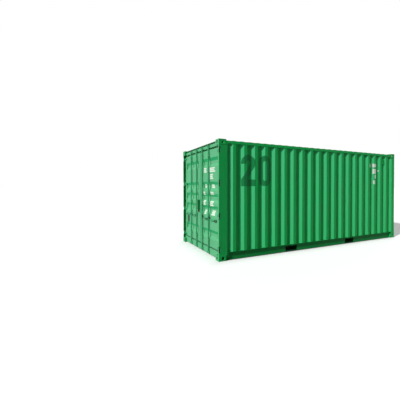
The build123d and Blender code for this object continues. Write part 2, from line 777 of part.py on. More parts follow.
def leaf_hinges():
    """The blades of the left leaf."""
    return Compound([hinge_blade(level) for level in hinge_levels()])


def bar_guide(y, level):
    """Bracket that holds one bar against the left leaf."""
    outer_r = BAR_R + GUIDE_CLEAR + GUIDE_T
    loop = Pos(BAR_X, y) * rounded(outer_r)
    loop += shape((BAR_X, y - outer_r), (LEAF_X, y - outer_r), (LEAF_X, y + outer_r), (BAR_X, y + outer_r))
    loop -= Pos(BAR_X, y) * round_hole(BAR_R + GUIDE_CLEAR)
    strap = upright(loop, level - GUIDE_STRAP / 2, level + GUIDE_STRAP / 2)
    base = block(
        LEAF_X - GUIDE_T, LEAF_X, y - GUIDE_W / 2, y + GUIDE_W / 2,
        level - GUIDE_H / 2, level + GUIDE_H / 2,
    )
    return strap + base


def bar_guides():
    """All bar brackets of the left leaf."""
    levels = (
        LEAF_BOTTOM_Z + GUIDE_OVER_LEAF_BOTTOM,
        HANDLE_Z + GUIDE_OVER_HANDLE,
        LEAF_TOP_Z - GUIDE_UNDER_LEAF_TOP,
    )
    return Compound([bar_guide(y, z) for y in (BAR_INNER_Y, BAR_OUTER_Y) for z in levels])


def handle_retainer(tip_y):
    """Shelf bracket under the end of one handle of the left leaf."""
    y = tip_y - RETAINER_SETBACK
    half = RETAINER_W / 2
    shelf_top = HANDLE_ARM_Z - HANDLE_W / 2 - RETAINER_CLEAR
    shelf_bottom = shelf_top - RETAINER_SHELF
    base_x = LEAF_X - RETAINER_BASE
    base = block(base_x, LEAF_X, y - half, y + half, shelf_bottom, shelf_bottom + RETAINER_RISE)
    shelf = block(REAR + RETAINER_FRONT, base_x, y - half, y + half, shelf_bottom, shelf_top)
    return base + shelf


def handle_retainers():
    """Both handle retainers of the left leaf."""
    return Compound([handle_retainer(HANDLE_INNER_TIP_Y), handle_retainer(HANDLE_OUTER_TIP_Y)])


def cam_outline(y):
    """Cam in plan: two bevelled noses either side of the bar."""
    plate = Rectangle(CAM_W, 2 * CAM_REACH)
    return Pos(BAR_X, y) * chamfer(plate.vertices(), CAM_EDGE)


def locking_bar(y):
    """Bar of the left leaf: pipe, a cam at each end and the clevis of the handle."""
    bar = upright(Pos(BAR_X, y) * Circle(BAR_R), BAR_BOTTOM_Z, BAR_TOP_Z)
    bar += upright(cam_outline(y), BAR_BOTTOM_Z, BAR_BOTTOM_Z + CAM_H)
    bar += upright(cam_outline(y), BAR_TOP_Z - CAM_H, BAR_TOP_Z)
    pin_y = y + HANDLE_PIN_Y
    ear = Pos(pin_y, HANDLE_Z) * rounded(CLEVIS_R)
    ear += shape(
        (y, HANDLE_Z - CLEVIS_R), (pin_y, HANDLE_Z - CLEVIS_R),
        (pin_y, HANDLE_Z + CLEVIS_R), (y, HANDLE_Z + CLEVIS_R),
    )
    inner = HANDLE_T / 2 + CLEVIS_GAP
    outer = inner + CLEVIS_T
    bar += lengthwise(ear, BAR_X - outer, BAR_X - inner)
    bar += lengthwise(ear, BAR_X + inner, BAR_X + outer)
    bar += lengthwise(Pos(pin_y, HANDLE_Z) * rounded(HANDLE_PIN_R), BAR_X - outer, BAR_X + outer)
    return bar - upright(Pos(BAR_X, y) * rounded(BAR_R - BAR_WALL), BAR_BOTTOM_Z, BAR_TOP_Z)


def handle(y, tip_y):
    """Flat handle of the left leaf, cranked down to its retainer."""
    pin_y = y + HANDLE_PIN_Y
    half = HANDLE_W / 2
    knee_y = pin_y + HANDLE_KNEE
    arm = shape(
        (pin_y, HANDLE_Z - HANDLE_BOSS_R), (knee_y, HANDLE_ARM_Z - half),
        (tip_y - half, HANDLE_ARM_Z - half), (tip_y - half, HANDLE_ARM_Z + half),
        (knee_y, HANDLE_ARM_Z + half), (pin_y, HANDLE_Z + HANDLE_BOSS_R),
    )
    arm += Pos(pin_y, HANDLE_Z) * rounded(HANDLE_BOSS_R)
    arm += Pos(tip_y - half, HANDLE_ARM_Z) * rounded(half)
    arm -= Pos(pin_y, HANDLE_Z) * round_hole(HANDLE_PIN_R + HANDLE_PIN_CLEAR)
    arm -= Pos(tip_y - half, HANDLE_ARM_Z) * round_hole(HANDLE_PIN_R)
    return lengthwise(arm, BAR_X - HANDLE_T / 2, BAR_X + HANDLE_T / 2)


def lock_box():
    """Open bottomed lock box on the left leaf beside the meeting edge."""
    y0 = LEAF_IN_Y + LOCK_BOX_FROM_LEAF_EDGE
    y1 = y0 + LOCK_BOX_W
    z0 = HANDLE_Z + LOCK_BOX_OVER_HANDLE
    z1 = z0 + LOCK_BOX_H
    x0 = REAR + LOCK_BOX_FRONT
    t = LOCK_BOX_WALL
    shell = block(x0, LEAF_X, y0, y1, z0, z1)
    return shell - block(x0 + t, LEAF_X, y0 + t, y1 - t, z0, z1 - t)


def data_plate():
    """Bare plate on the left leaf."""
    y1 = LEAF_OUT_Y - PLATE_FROM_LEAF_EDGE
    z0 = LEAF_BOTTOM_Z + PLATE_OVER_LEAF_BOTTOM
    return block(LEAF_X - PLATE_T, LEAF_X, y1 - PLATE_W, y1, z0, z0 + PLATE_H)


def build_castings():
    bottom = corner_casting(top=False)
    top = corner_casting(top=True)
    for level, casting in (("bottom", bottom), ("top", top)):
        save(level + "_casting_front_left", casting)
        save(level + "_casting_front_right", other_side(casting))
        save(level + "_casting_rear_left", other_end(casting))
        save(level + "_casting_rear_right", other_end(other_side(casting)))


def build_frame():
    pairs = (
        ("rear_post", rear_corner_post()),
        ("front_post", front_corner_post()),
        ("top_side_rail", top_side_rail()),
        ("bottom_side_rail", bottom_side_rail()),
        ("side_wall", side_wall()),
    )
    for name, part in pairs:
        save(name + "_left", part)
        save(name + "_right", other_side(part))
    save("front_top_rail", front_top_rail())
    save("front_bottom_rail", front_bottom_rail())
    save("front_wall", front_wall())
    save("door_header", door_header())
    save("door_sill", door_sill())
    save("roof", roof())
    save("roof_end_plates", roof_end_plates())
    save("floor_boards", floor_boards())
    save("cross_members", cross_members())
    save("fork_pocket_rear", fork_pocket(-POCKET_X))
    save("fork_pocket_front", fork_pocket(POCKET_X))
    hood = vent()
    save("vents", Compound([hood, other_side(hood)]))
    save("header_keepers", keeper_row(BAR_TOP_Z, True))
    save("sill_keepers", keeper_row(BAR_BOTTOM_Z, False))


def build_doors():
    pieces = (
        ("door_frame", leaf_frame()),
        ("door_panel", leaf_panel()),
        ("door_gasket", leaf_gasket()),
        ("hinge_blades", leaf_hinges()),
        ("bar_guides", bar_guides()),
        ("handle_retainers", handle_retainers()),
        ("inner_bar", locking_bar(BAR_INNER_Y)),
        ("outer_bar", locking_bar(BAR_OUTER_Y)),
        ("inner_handle", handle(BAR_INNER_Y, HANDLE_INNER_TIP_Y)),
        ("outer_handle", handle(BAR_OUTER_Y, HANDLE_OUTER_TIP_Y)),
    )
    for name, part in pieces:
        save(name + "_left", part)
        save(name + "_right", other_side(part))
    save("lock_box", lock_box())
    save("data_plate", data_plate())


os.makedirs("parts", exist_ok=True)
build_castings()
build_frame()
build_doors()
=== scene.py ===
import json
import math

import bmesh
import bpy
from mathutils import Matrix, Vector


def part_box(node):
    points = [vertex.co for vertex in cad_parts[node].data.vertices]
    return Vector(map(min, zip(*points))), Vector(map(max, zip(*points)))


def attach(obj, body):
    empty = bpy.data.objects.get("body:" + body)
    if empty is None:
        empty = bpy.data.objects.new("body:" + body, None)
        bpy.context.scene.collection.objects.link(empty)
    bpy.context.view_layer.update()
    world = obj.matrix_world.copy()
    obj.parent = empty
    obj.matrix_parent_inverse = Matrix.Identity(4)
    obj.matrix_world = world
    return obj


bl_info = {
    "name": "Freight container dressing",
    "version": (1, 0, 0),
    "blender": (4, 5, 0),
    "location": "View3D > Sidebar > Container",
    "description": "Paint, welds, fasteners, seals and marks for a 20 ft freight container",
    "category": "Object",
}

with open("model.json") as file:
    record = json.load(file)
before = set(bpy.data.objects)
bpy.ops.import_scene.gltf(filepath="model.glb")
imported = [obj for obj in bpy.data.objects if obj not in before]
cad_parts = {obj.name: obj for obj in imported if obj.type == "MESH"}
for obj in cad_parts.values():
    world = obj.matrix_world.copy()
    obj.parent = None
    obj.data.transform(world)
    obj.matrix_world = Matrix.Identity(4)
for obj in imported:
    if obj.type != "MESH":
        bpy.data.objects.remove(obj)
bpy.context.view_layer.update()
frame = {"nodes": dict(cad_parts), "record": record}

MM = 0.001
REAR_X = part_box("bottom_casting_rear_left")[0].x
FRONT_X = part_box("bottom_casting_front_left")[1].x
LEAF_FACE_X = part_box("door_frame_left")[0].x
BAR_Y = (0.190, 0.590)
HINGE_Z = (0.250, 0.955, 1.660, 2.365)
GUIDE_Z = (0.354, 1.178, 2.290)
HANDLE_Z = 0.850
HANDLE_SPOTS = (0.240, 0.458, 0.645, 0.948)
WALL_START_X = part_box("side_wall_right")[0].x
WALL_END_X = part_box("side_wall_right")[1].x
WALL_FACE_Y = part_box("side_wall_right")[0].y
WALL_DEPTH = 36 * MM
WALL_INNER = 70 * MM
WALL_SLOPE = 68 * MM
WALL_OUTER = 73.1 * MM
DOOR_RECESS_Z = (0.490, 1.040, 1.315, 1.590, 2.140)
DOOR_DEPTH = 36 * MM
DOOR_SLOPE = 68 * MM
DOOR_INNER = 72 * MM
SKIN_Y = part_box("rear_post_left")[1].y
CASTING_L = 178 * MM
SIDES = (("left", 1), ("right", -1))

# Where a tone is full and where it is gone, for the masks of the paint, most of which paint shade or sheen
# into the colour.
# Painted shade in the hinge cut-outs: its reach up and down from each hinge, back from the door end and in
# from the outer side.
HINGE_SHADE_RISE = (50 * MM, 80 * MM)
HINGE_SHADE_END_X = (REAR_X + 34 * MM, REAR_X + 46 * MM)
HINGE_SHADE_SIDE_Y = (SKIN_Y - 8 * MM, SKIN_Y - 16 * MM)
# Grease and painted shade at the handles: their reach across and up and down.
GRIP_ACROSS = (30 * MM, 40 * MM)
GRIP_RISE = (50 * MM, 65 * MM)
# Reach of the painted sheen on the wall folds: full at the door end and at the top, fading along the wall
# and downwards.
SHEEN_X = (REAR_X, REAR_X + 15.0)
SHEEN_Z = (2.4, -5.6)
# Reach of the painted sunlit tone on the end faces of posts and castings, back from the door end.
END_FACE_X = (REAR_X + 60 * MM, REAR_X + 70 * MM)
FOLD_LEAN = math.sin(math.atan(WALL_DEPTH / WALL_SLOPE))
LEAN_TOLERANCE = 0.2


def srgb(text):
    """Linear colour of an sRGB hex value such as #00843A."""
    parts = [int(text[i:i + 2], 16) / 255 for i in (1, 3, 5)]
    return tuple(c / 12.92 if c <= 0.04045 else ((c + 0.055) / 1.055) ** 2.4 for c in parts)


def add(tree, kind, inputs=None, **settings):
    """One node with its settings, its socket values and its links."""
    node = tree.nodes.new(kind)
    for name, value in settings.items():
        setattr(node, name, value)
    for key, value in (inputs or {}).items():
        if isinstance(value, bpy.types.NodeSocket):
            tree.links.new(value, node.inputs[key])
        else:
            node.inputs[key].default_value = value
    return node


def new_material(name):
    """The tree of an empty node material, and the place of each point on its object."""
    material = bpy.data.materials.new(name)
    material.use_nodes = True
    tree = material.node_tree
    tree.nodes.clear()
    return tree, add(tree, "ShaderNodeTexCoord").outputs["Object"]


def closed(tree, inputs):
    """Ends a material in one Principled shader."""
    shader = add(tree, "ShaderNodeBsdfPrincipled", inputs)
    add(tree, "ShaderNodeOutputMaterial", {"Surface": shader.outputs[0]})


def ramp(tree, factor, stops):
    """A colour ramp over a factor, as a list of position and grey or colour."""
    node = add(tree, "ShaderNodeValToRGB", {"Fac": factor})
    elements = node.color_ramp.elements
    while len(elements) < len(stops):
        elements.new(0.5)
    for element, (position, value) in zip(elements, stops):
        element.position = position
        element.color = (*value, 1) if isinstance(value, tuple) else (value, value, value, 1)
    return node.outputs["Color"]


def mixed(tree, factor, first, second):
    """Two colours mixed by a factor; each is a socket or a linear colour."""
    pair = [c if isinstance(c, bpy.types.NodeSocket) else (*c, 1) for c in (first, second)]
    node = add(
        tree, "ShaderNodeMix", {"Factor": factor, "A": pair[0], "B": pair[1]}, data_type="RGBA"
    )
    return node.outputs["Result"]


def math_node(tree, operation, *values):
    """The result of one sum over numbers and sockets."""
    return add(tree, "ShaderNodeMath", dict(enumerate(values)), operation=operation).outputs[0]


def times(tree, first, second):
    """The product of two values."""
    return math_node(tree, "MULTIPLY", first, second)


def apart(tree, value, level):
    """How far a value is from a level, up or down."""
    return math_node(tree, "ABSOLUTE", math_node(tree, "SUBTRACT", value, level))


def axes_of(tree, vector):
    """The three parts of a vector, by name."""
    return add(tree, "ShaderNodeSeparateXYZ", {"Vector": vector}).outputs


def mapped(tree, value, low, high, first, last):
    """A value between two limits, laid out between two others."""
    inputs = {"Value": value, "From Min": low, "From Max": high, "To Min": first, "To Max": last}
    return add(tree, "ShaderNodeMapRange", inputs).outputs["Result"]


def faded(tree, value, full, gone):
    """One where a value is at full, falling to nothing where it reaches gone."""
    return mapped(tree, value, full, gone, 1.0, 0.0)


def noise(tree, place, scale, detail, roughness=0.5):
    """Smooth noise between nothing and one."""
    inputs = {"Vector": place, "Scale": scale, "Detail": detail, "Roughness": roughness}
    return add(tree, "ShaderNodeTexNoise", inputs).outputs["Fac"]


def bumped(tree, height, strength, distance, under=None):
    """A normal that follows a height, laid over another normal if one is given."""
    inputs = {"Height": height, "Strength": strength, "Distance": distance}
    if under is not None:
        inputs["Normal"] = under
    return add(tree, "ShaderNodeBump", inputs).outputs["Normal"]


def hinge_painted_shade(tree, place):
    """A mask for painted shade on the outer side of the hinges and of the posts beside them, where their
    cut-outs lie in shadow.
    """
    axes = axes_of(tree, place)
    rise = math_node(tree, "SUBTRACT", axes["Z"], HINGE_Z[0])
    away = math_node(tree, "PINGPONG", rise, (HINGE_Z[1] - HINGE_Z[0]) / 2)
    near_level = faded(tree, away, *HINGE_SHADE_RISE)
    near_end = faded(tree, axes["X"], *HINGE_SHADE_END_X)
    outer_side = faded(tree, math_node(tree, "ABSOLUTE", axes["Y"]), *HINGE_SHADE_SIDE_Y)
    return times(tree, times(tree, near_level, near_end), outer_side)


def handle_oily_dirt_and_painted_shade(tree, place):
    """A mask for grease and painted shade on the pivots of the handles and on their catches."""
    axes = axes_of(tree, place)
    outward = math_node(tree, "ABSOLUTE", axes["Y"])
    widest = 0.0
    for spot in HANDLE_SPOTS:
        near = faded(tree, apart(tree, outward, spot), *GRIP_ACROSS)
        widest = math_node(tree, "MAXIMUM", widest, near)
    return times(tree, widest, faded(tree, apart(tree, axes["Z"], HANDLE_Z), *GRIP_RISE))


def leaning(tree, axis, lean):
    """A mask for the faces that lean this much towards the low end of an axis."""
    normal = add(tree, "ShaderNodeTexCoord").outputs["Normal"]
    return math_node(tree, "COMPARE", axes_of(tree, normal)[axis], -lean, LEAN_TOLERANCE)


def painted_sheen_folds(tree, place):
    """A mask for a painted sheen on the folds of the walls that look to the door end, strongest there and
    high up.
    """
    axes = axes_of(tree, place)
    away = times(tree, faded(tree, axes["X"], *SHEEN_X), faded(tree, axes["Z"], *SHEEN_Z))
    return times(tree, leaning(tree, "X", FOLD_LEAN), away)


def painted_sunlight_ends(tree, place):
    """A mask for a painted sunlit tone on the faces of the posts and castings that look out of the door
    end.
    """
    return times(tree, leaning(tree, "X", 1.0), faded(tree, axes_of(tree, place)["X"], *END_FACE_X))


def painted_shade_folds(tree, place):
    """A mask for painted shade on the folds of the leaves that look down."""
    return leaning(tree, "Z", FOLD_LEAN)


def weathered(tree, place, colour, dirt, streaks):
    """A paint colour with pale chalked clouds and thin runs of grime."""
    cloud = ramp(tree, noise(tree, place, 1.7, 4.0, 0.55), [(0.3, 0.0), (0.75, 1.0)])
    base = mixed(tree, cloud, colour, tuple(c * 0.88 + 0.012 for c in colour))
    tall = add(tree, "ShaderNodeMapping", {"Vector": place, "Scale": (1, 1, 0.07)}).outputs[0]
    runs = ramp(tree, noise(tree, tall, 22.0, 5.0, 0.6), [(0.52, 0.0), (0.78, 1.0)])
    return mixed(tree, times(tree, runs, streaks), base, dirt)


def steel_paint(name, colour, dirt, roughness, grain_mm, grain, streaks, changes):
    """Two-part marine enamel sprayed on rolled steel, with other tones where masks say so: painted sheen,
    painted sunlight, painted shade and some grease.

    The eye gets a satin coat with faint orange peel, slow waves in the sheet, pale chalking
    where it has weathered and thin runs of grime from the top edges.
    """
    tree, place = new_material(name)
    tint = weathered(tree, place, colour, dirt, streaks)
    for mask, tone in changes:
        tint = mixed(tree, mask(tree, place), tint, tone)
    scuff = noise(tree, place, 90.0, 3.0, 0.7)
    rough = mapped(tree, scuff, 0.3, 0.7, roughness - 0.05, roughness + 0.07)
    soft = add(tree, "ShaderNodeBevel", {"Radius": 3 * MM}, samples=4).outputs["Normal"]
    waves = bumped(tree, noise(tree, place, 2.6, 1.0), 0.35, 6 * MM, soft)
    peel = bumped(tree, noise(tree, place, 1 / (grain_mm * MM), 2.0), grain, 0.6 * MM, waves)
    closed(tree, {
        "Base Color": tint, "Roughness": rough, "Normal": peel, "Specular IOR Level": 0.15, "IOR": 1.5,
    })


def gasket_rubber():
    """Extruded EPDM rubber: deep matt black with a faint bloom and fine die lines."""
    tree, place = new_material("extruded_epdm_rubber")
    bloom = noise(tree, place, 14.0, 4.0)
    tint = ramp(tree, bloom, [(0.35, srgb("#141615")), (0.8, srgb("#24282A"))])
    lines = bumped(tree, noise(tree, place, 700.0, 1.0), 0.2, 0.4 * MM)
    closed(tree, {"Base Color": tint, "Roughness": 0.72, "Normal": lines})


def keruing_plywood():
    """Sealed keruing plywood: reddish brown face veneer, grain along the boards, worn matt."""
    tree, place = new_material("sealed_keruing_plywood")
    along = add(tree, "ShaderNodeMapping", {"Vector": place, "Scale": (0.6, 14.0, 14.0)}).outputs[0]
    tint = ramp(
        tree, noise(tree, along, 6.0, 8.0, 0.65),
        [(0.3, srgb("#5A3A26")), (0.52, srgb("#8A5E3E")), (0.72, srgb("#A67B55"))],
    )
    pores = bumped(tree, noise(tree, along, 60.0, 2.0), 0.3, 0.8 * MM)
    closed(tree, {"Base Color": tint, "Roughness": 0.62, "Normal": pores})


def stencil_paint(name, colour, roughness):
    """Thin vinyl-like marking paint, a touch smoother than the coat under it, slightly faded."""
    tree, place = new_material(name)
    pale = tuple(c * 0.93 + 0.004 for c in colour)
    tint = ramp(tree, noise(tree, place, 9.0, 5.0), [(0.35, pale), (0.65, colour)])
    closed(tree, {"Base Color": tint, "Roughness": roughness, "Specular IOR Level": 0.2, "IOR": 1.5})


def plain_object(name, mesh, material, body):
    """A finished piece at the origin, riding on its body."""
    piece = bpy.data.objects.new(name, mesh)
    bpy.context.scene.collection.objects.link(piece)
    mesh.materials.append(material)
    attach(piece, body)


def frozen(name, source, material, body):
    """The evaluated result of a source object as a plain mesh piece, the source removed."""
    graph = bpy.context.evaluated_depsgraph_get()
    mesh = bpy.data.meshes.new_from_object(source.evaluated_get(graph), depsgraph=graph)
    mesh.name = name
    bpy.data.objects.remove(source)
    if len(mesh.polygons) == 0:
        raise RuntimeError(name + " came out empty")
    mesh.materials.clear()
    plain_object(name, mesh, material, body)


def modified(source, tree, values):
    """Hangs a geometry tree on an object and sets its named inputs."""
    bpy.context.scene.collection.objects.link(source)
    modifier = source.modifiers.new("shape", "NODES")
    modifier.node_group = tree
    for item in tree.interface.items_tree:
        if item.item_type == "SOCKET" and item.in_out == "INPUT" and item.name in values:
            modifier[item.identifier] = values[item.name]
    return source


def geometry_tree(name, sockets):
    """A geometry tree with a geometry input, named inputs and a geometry output."""
    tree = bpy.data.node_groups.new(name, "GeometryNodeTree")
    tree.interface.new_socket("Geometry", in_out="INPUT", socket_type="NodeSocketGeometry")
    for label, kind, value in sockets:
        socket = tree.interface.new_socket(label, in_out="INPUT", socket_type=kind)
        if value is not None:
            socket.default_value = value
    tree.interface.new_socket("Geometry", in_out="OUTPUT", socket_type="NodeSocketGeometry")
    return tree, add(tree, "NodeGroupInput"), add(tree, "NodeGroupOutput")


def painted(tree, given, out, shape):
    """The tree, ended by real instances in the material that is set on it."""
    real = add(tree, "GeometryNodeRealizeInstances", {"Geometry": shape.outputs[0]})
    inputs = {"Geometry": real.outputs[0], "Material": given.outputs["Material"]}
    dressed = add(tree, "GeometryNodeSetMaterial", inputs)
    tree.links.new(dressed.outputs[0], out.inputs[0])
    return tree


def bead_tree():
    """A round section swept along a path, swelling and narrowing as a weld does."""
    tree, given, out = geometry_tree(
        "swept_bead",
        [("Radius", "NodeSocketFloat", 0.003), ("Step", "NodeSocketFloat", 0.012),
         ("Swell", "NodeSocketFloat", 0.2), ("Sides", "NodeSocketInt", 6),
         ("Material", "NodeSocketMaterial", None)],
    )
    path = add(
        tree, "GeometryNodeResampleCurve",
        {"Curve": given.outputs["Geometry"], "Length": given.outputs["Step"]}, mode="LENGTH",
    )
    place = add(tree, "GeometryNodeInputPosition").outputs[0]
    least = math_node(tree, "SUBTRACT", 1.0, given.outputs["Swell"])
    swell = mapped(tree, noise(tree, place, 120.0, 1.0), 0.3, 0.7, least, 1.0)
    ring = add(
        tree, "GeometryNodeCurvePrimitiveCircle",
        {"Resolution": given.outputs["Sides"], "Radius": given.outputs["Radius"]},
    )
    tube = add(
        tree, "GeometryNodeCurveToMesh",
        {"Curve": path.outputs[0], "Profile Curve": ring.outputs[0], "Fill Caps": True,
         "Scale": swell},
    )
    return painted(tree, given, out, tube)


WASHER_WIDTH = 1.35
WASHER_DEPTH = 0.35
HEAD_TAPER = 0.86


def head_tree(turn):
    """Fastener heads: a washer and a tapered head set on every point, turned to face one way."""
    tree, given, out = geometry_tree(
        "fastener_heads",
        [("Radius", "NodeSocketFloat", 0.009), ("Height", "NodeSocketFloat", 0.007),
         ("Corners", "NodeSocketInt", 6), ("Material", "NodeSocketMaterial", None)],
    )
    radius, height = given.outputs["Radius"], given.outputs["Height"]
    washer = add(
        tree, "GeometryNodeMeshCylinder",
        {"Vertices": 12, "Radius": times(tree, radius, WASHER_WIDTH),
         "Depth": times(tree, height, WASHER_DEPTH)},
    )
    head = add(
        tree, "GeometryNodeMeshCone",
        {"Vertices": given.outputs["Corners"], "Radius Bottom": radius,
         "Radius Top": times(tree, radius, HEAD_TAPER), "Depth": height},
    )
    both = add(tree, "GeometryNodeJoinGeometry")
    tree.links.new(head.outputs[0], both.inputs[0])
    tree.links.new(washer.outputs[0], both.inputs[0])
    set_on = add(
        tree, "GeometryNodeInstanceOnPoints",
        {"Points": given.outputs["Geometry"], "Instance": both.outputs[0],
         "Rotation": turn},
    )
    return painted(tree, given, out, set_on)


def wall_depth(x):
    """How far the outer face of a side wall lies behind its outermost flats at this x."""
    along = (x - WALL_START_X) % (WALL_INNER + WALL_OUTER + 2 * WALL_SLOPE)
    if along < WALL_INNER:
        return WALL_DEPTH
    if along < WALL_INNER + WALL_SLOPE:
        return WALL_DEPTH * (1 - (along - WALL_INNER) / WALL_SLOPE)
    if along < WALL_INNER + WALL_SLOPE + WALL_OUTER:
        return 0.0
    return WALL_DEPTH * (along - WALL_INNER - WALL_SLOPE - WALL_OUTER) / WALL_SLOPE


def wall_breaks(low, high):
    """The fold lines of a side wall between two places along it."""
    pitch = WALL_INNER + WALL_OUTER + 2 * WALL_SLOPE
    steps = (0.0, WALL_INNER, WALL_INNER + WALL_SLOPE, WALL_INNER + WALL_SLOPE + WALL_OUTER)
    folds = []
    start = WALL_START_X
    while start < WALL_END_X:
        folds += [start + step for step in steps]
        start += pitch
    return [x for x in folds if low < x < high]


def door_depth(z):
    """How far the outer face of a door panel lies behind its frame at this height."""
    near = min(abs(z - level) for level in DOOR_RECESS_Z)
    return DOOR_DEPTH * max(0.0, min(1.0, (DOOR_INNER / 2 + DOOR_SLOPE - near) / DOOR_SLOPE))


def door_breaks(low, high):
    """The fold lines of a door panel between two heights."""
    half = DOOR_INNER / 2
    folds = []
    for level in DOOR_RECESS_Z:
        folds += [level - half - DOOR_SLOPE, level - half, level + half, level + half + DOOR_SLOPE]
    return [z for z in folds if low < z < high]


def band(path, width, closed=False):
    """Corner quads of a flat stroke of even width along a path of points."""
    points = [Vector(point) for point in path]
    count = len(points)
    left, right = [], []
    for i, point in enumerate(points):
        before = points[i] - points[i - 1] if closed or i > 0 else points[1] - points[0]
        after = points[(i + 1) % count] - points[i] if closed or i < count - 1 else before
        across = (before.normalized() + after.normalized()).normalized()
        across = Vector((-across.y, across.x))
        reach = width / 2 / max(0.5, across.dot(Vector((-before.y, before.x)).normalized()))
        left.append(point + across * reach)
        right.append(point - across * reach)
    last = count if closed else count - 1
    return [(left[i], right[i], right[(i + 1) % count], left[(i + 1) % count]) for i in range(last)]


def arc(centre, radius, start, end, steps):
    """Points on an arc between two angles in degrees."""
    turns = [math.radians(start + (end - start) * i / steps) for i in range(steps + 1)]
    return [(centre[0] + radius * math.cos(t), centre[1] + radius * math.sin(t)) for t in turns]


def figure_two(left, width, low, high, stroke):
    """The flat pieces of a plain bold two, edge to edge."""
    radius = (width - stroke) / 2
    centre = (left + width / 2, high - stroke / 2 - radius)
    bowl = band(arc(centre, radius, 192, -38, 18), stroke)
    foot = low + stroke * 1.2
    slant = (bowl[-1][3], bowl[-1][2], (left, foot), (left + stroke * 1.35, foot))
    return bowl + [slant, box_quad(left, left + width, low, foot)]


def figure_nought(left, width, low, high, stroke):
    """The flat pieces of a plain bold nought."""
    radius = (width - stroke) / 2
    middle = left + width / 2
    top = arc((middle, high - stroke / 2 - radius), radius, 0, 180, 14)
    bottom = arc((middle, low + stroke / 2 + radius), radius, 180, 360, 14)
    return band(top + bottom, stroke, closed=True)


def on_wall(x, z, lift):
    """A place on the outer face of the right side wall."""
    return Vector((x, WALL_FACE_Y + wall_depth(x) - lift, z))


def on_leaf(y, z, lift):
    """A place on the outer face of a door panel."""
    return Vector((LEAF_FACE_X + door_depth(z) - lift, y, z))


def laid_on(quads, folds, axis, place, lift):
    """A mesh of flat pieces, cut at the folds of the sheet and pressed on to it."""
    sheet = bmesh.new()
    for quad in quads:
        sheet.faces.new([sheet.verts.new((point[0], point[1], 0.0)) for point in quad])
    bmesh.ops.remove_doubles(sheet, verts=sheet.verts, dist=0.1 * MM)
    normal = Vector((1, 0, 0)) if axis == 0 else Vector((0, 1, 0))
    for fold in folds:
        everything = sheet.verts[:] + sheet.edges[:] + sheet.faces[:]
        bmesh.ops.bisect_plane(sheet, geom=everything, plane_co=normal * fold, plane_no=normal)
    for vert in sheet.verts:
        vert.co = place(vert.co.x, vert.co.y, lift)
    bmesh.ops.recalc_face_normals(sheet, faces=sheet.faces)
    return sheet


def finished_sheet(name, sheet, outward, material, body):
    """A pressed on mark as a piece whose faces point outwards."""
    if sum((face.normal for face in sheet.faces), Vector()).dot(outward) < 0:
        bmesh.ops.reverse_faces(sheet, faces=sheet.faces)
    mesh = bpy.data.meshes.new(name)
    sheet.to_mesh(mesh)
    sheet.free()
    plain_object(name, mesh, material, body)


def box_quad(a0, a1, b0, b1):
    """One rectangle as a flat piece."""
    return ((a0, b0), (a1, b0), (a1, b1), (a0, b1))


def swept(name, paths, values, material, body, cyclic=False):
    """Round beads along paths as one plain mesh piece."""
    curve = bpy.data.curves.new(name, "CURVE")
    curve.dimensions = "3D"
    for path in paths:
        spline = curve.splines.new("POLY")
        spline.points.add(len(path) - 1)
        for point, place in zip(spline.points, path):
            point.co = (*place, 1.0)
        spline.use_cyclic_u = cyclic
    source = modified(bpy.data.objects.new(name, curve), bead_tree(), values | {"Material": material})
    frozen(name, source, material, body)


def heads(name, points, turn, values, material, body, slot):
    """Fastener heads on points that face one way, as one plain mesh piece."""
    mesh = bpy.data.meshes.new(name)
    mesh.from_pydata(points, [], [])
    source = modified(bpy.data.objects.new(name, mesh), head_tree(turn), values | {"Material": material})
    frozen(name, source, material, body)


def material_for(node):
    """The finish of a CAD node: its own where it has one, or that of its record's slot."""
    names = {part["node"]: part["material_slot"] for part in frame["record"]["subparts"]}
    return bpy.data.materials[NODE_FINISHES.get(node) or FINISHES[names[node]]]


FINISHES = {
    "wall_green": "sprayed_enamel_on_wall_steel",
    "door_green": "sprayed_enamel_on_door_steel",
    "bar_green": "sprayed_enamel_on_lock_rods",
    "casting_green": "sprayed_enamel_on_cast_steel",
    "underframe": "bitumen_wax_on_underframe_steel",
    "gasket_rubber": "extruded_epdm_rubber",
    "plywood": "sealed_keruing_plywood",
    "plate": "painted_aluminium_plate",
}
PAIR_FINISHES = {
    "bottom_side_rail_": "grimed_enamel_on_bottom_rails",
    "rear_post_": "greased_enamel_on_door_posts",
    "hinge_blades_": "greased_enamel_on_hinges",
    "inner_handle_": "greased_enamel_on_handles",
    "outer_handle_": "greased_enamel_on_handles",
    "handle_retainers_": "greased_enamel_on_handles",
}
NODE_FINISHES = {
    "lock_box": "sprayed_enamel_on_lock_box",
    # The roof end plates take the pale door coat: painted light on their front edge, which would show dark
    # in shade.
    "roof_end_plates": "sprayed_enamel_on_door_steel",
    **{stem + side: finish for stem, finish in PAIR_FINISHES.items() for side, _ in SIDES},
}


def coat(name, description, colour):
    """A colour to choose, with its sRGB default."""
    return bpy.props.FloatVectorProperty(
        name=name, description=description, default=srgb(colour), subtype="COLOR", min=0, max=1,
    )


def length(name, description, default, low, high):
    """A length to choose, in metres."""
    return bpy.props.FloatProperty(
        name=name, description=description, default=default, min=low, max=high, unit="LENGTH",
    )


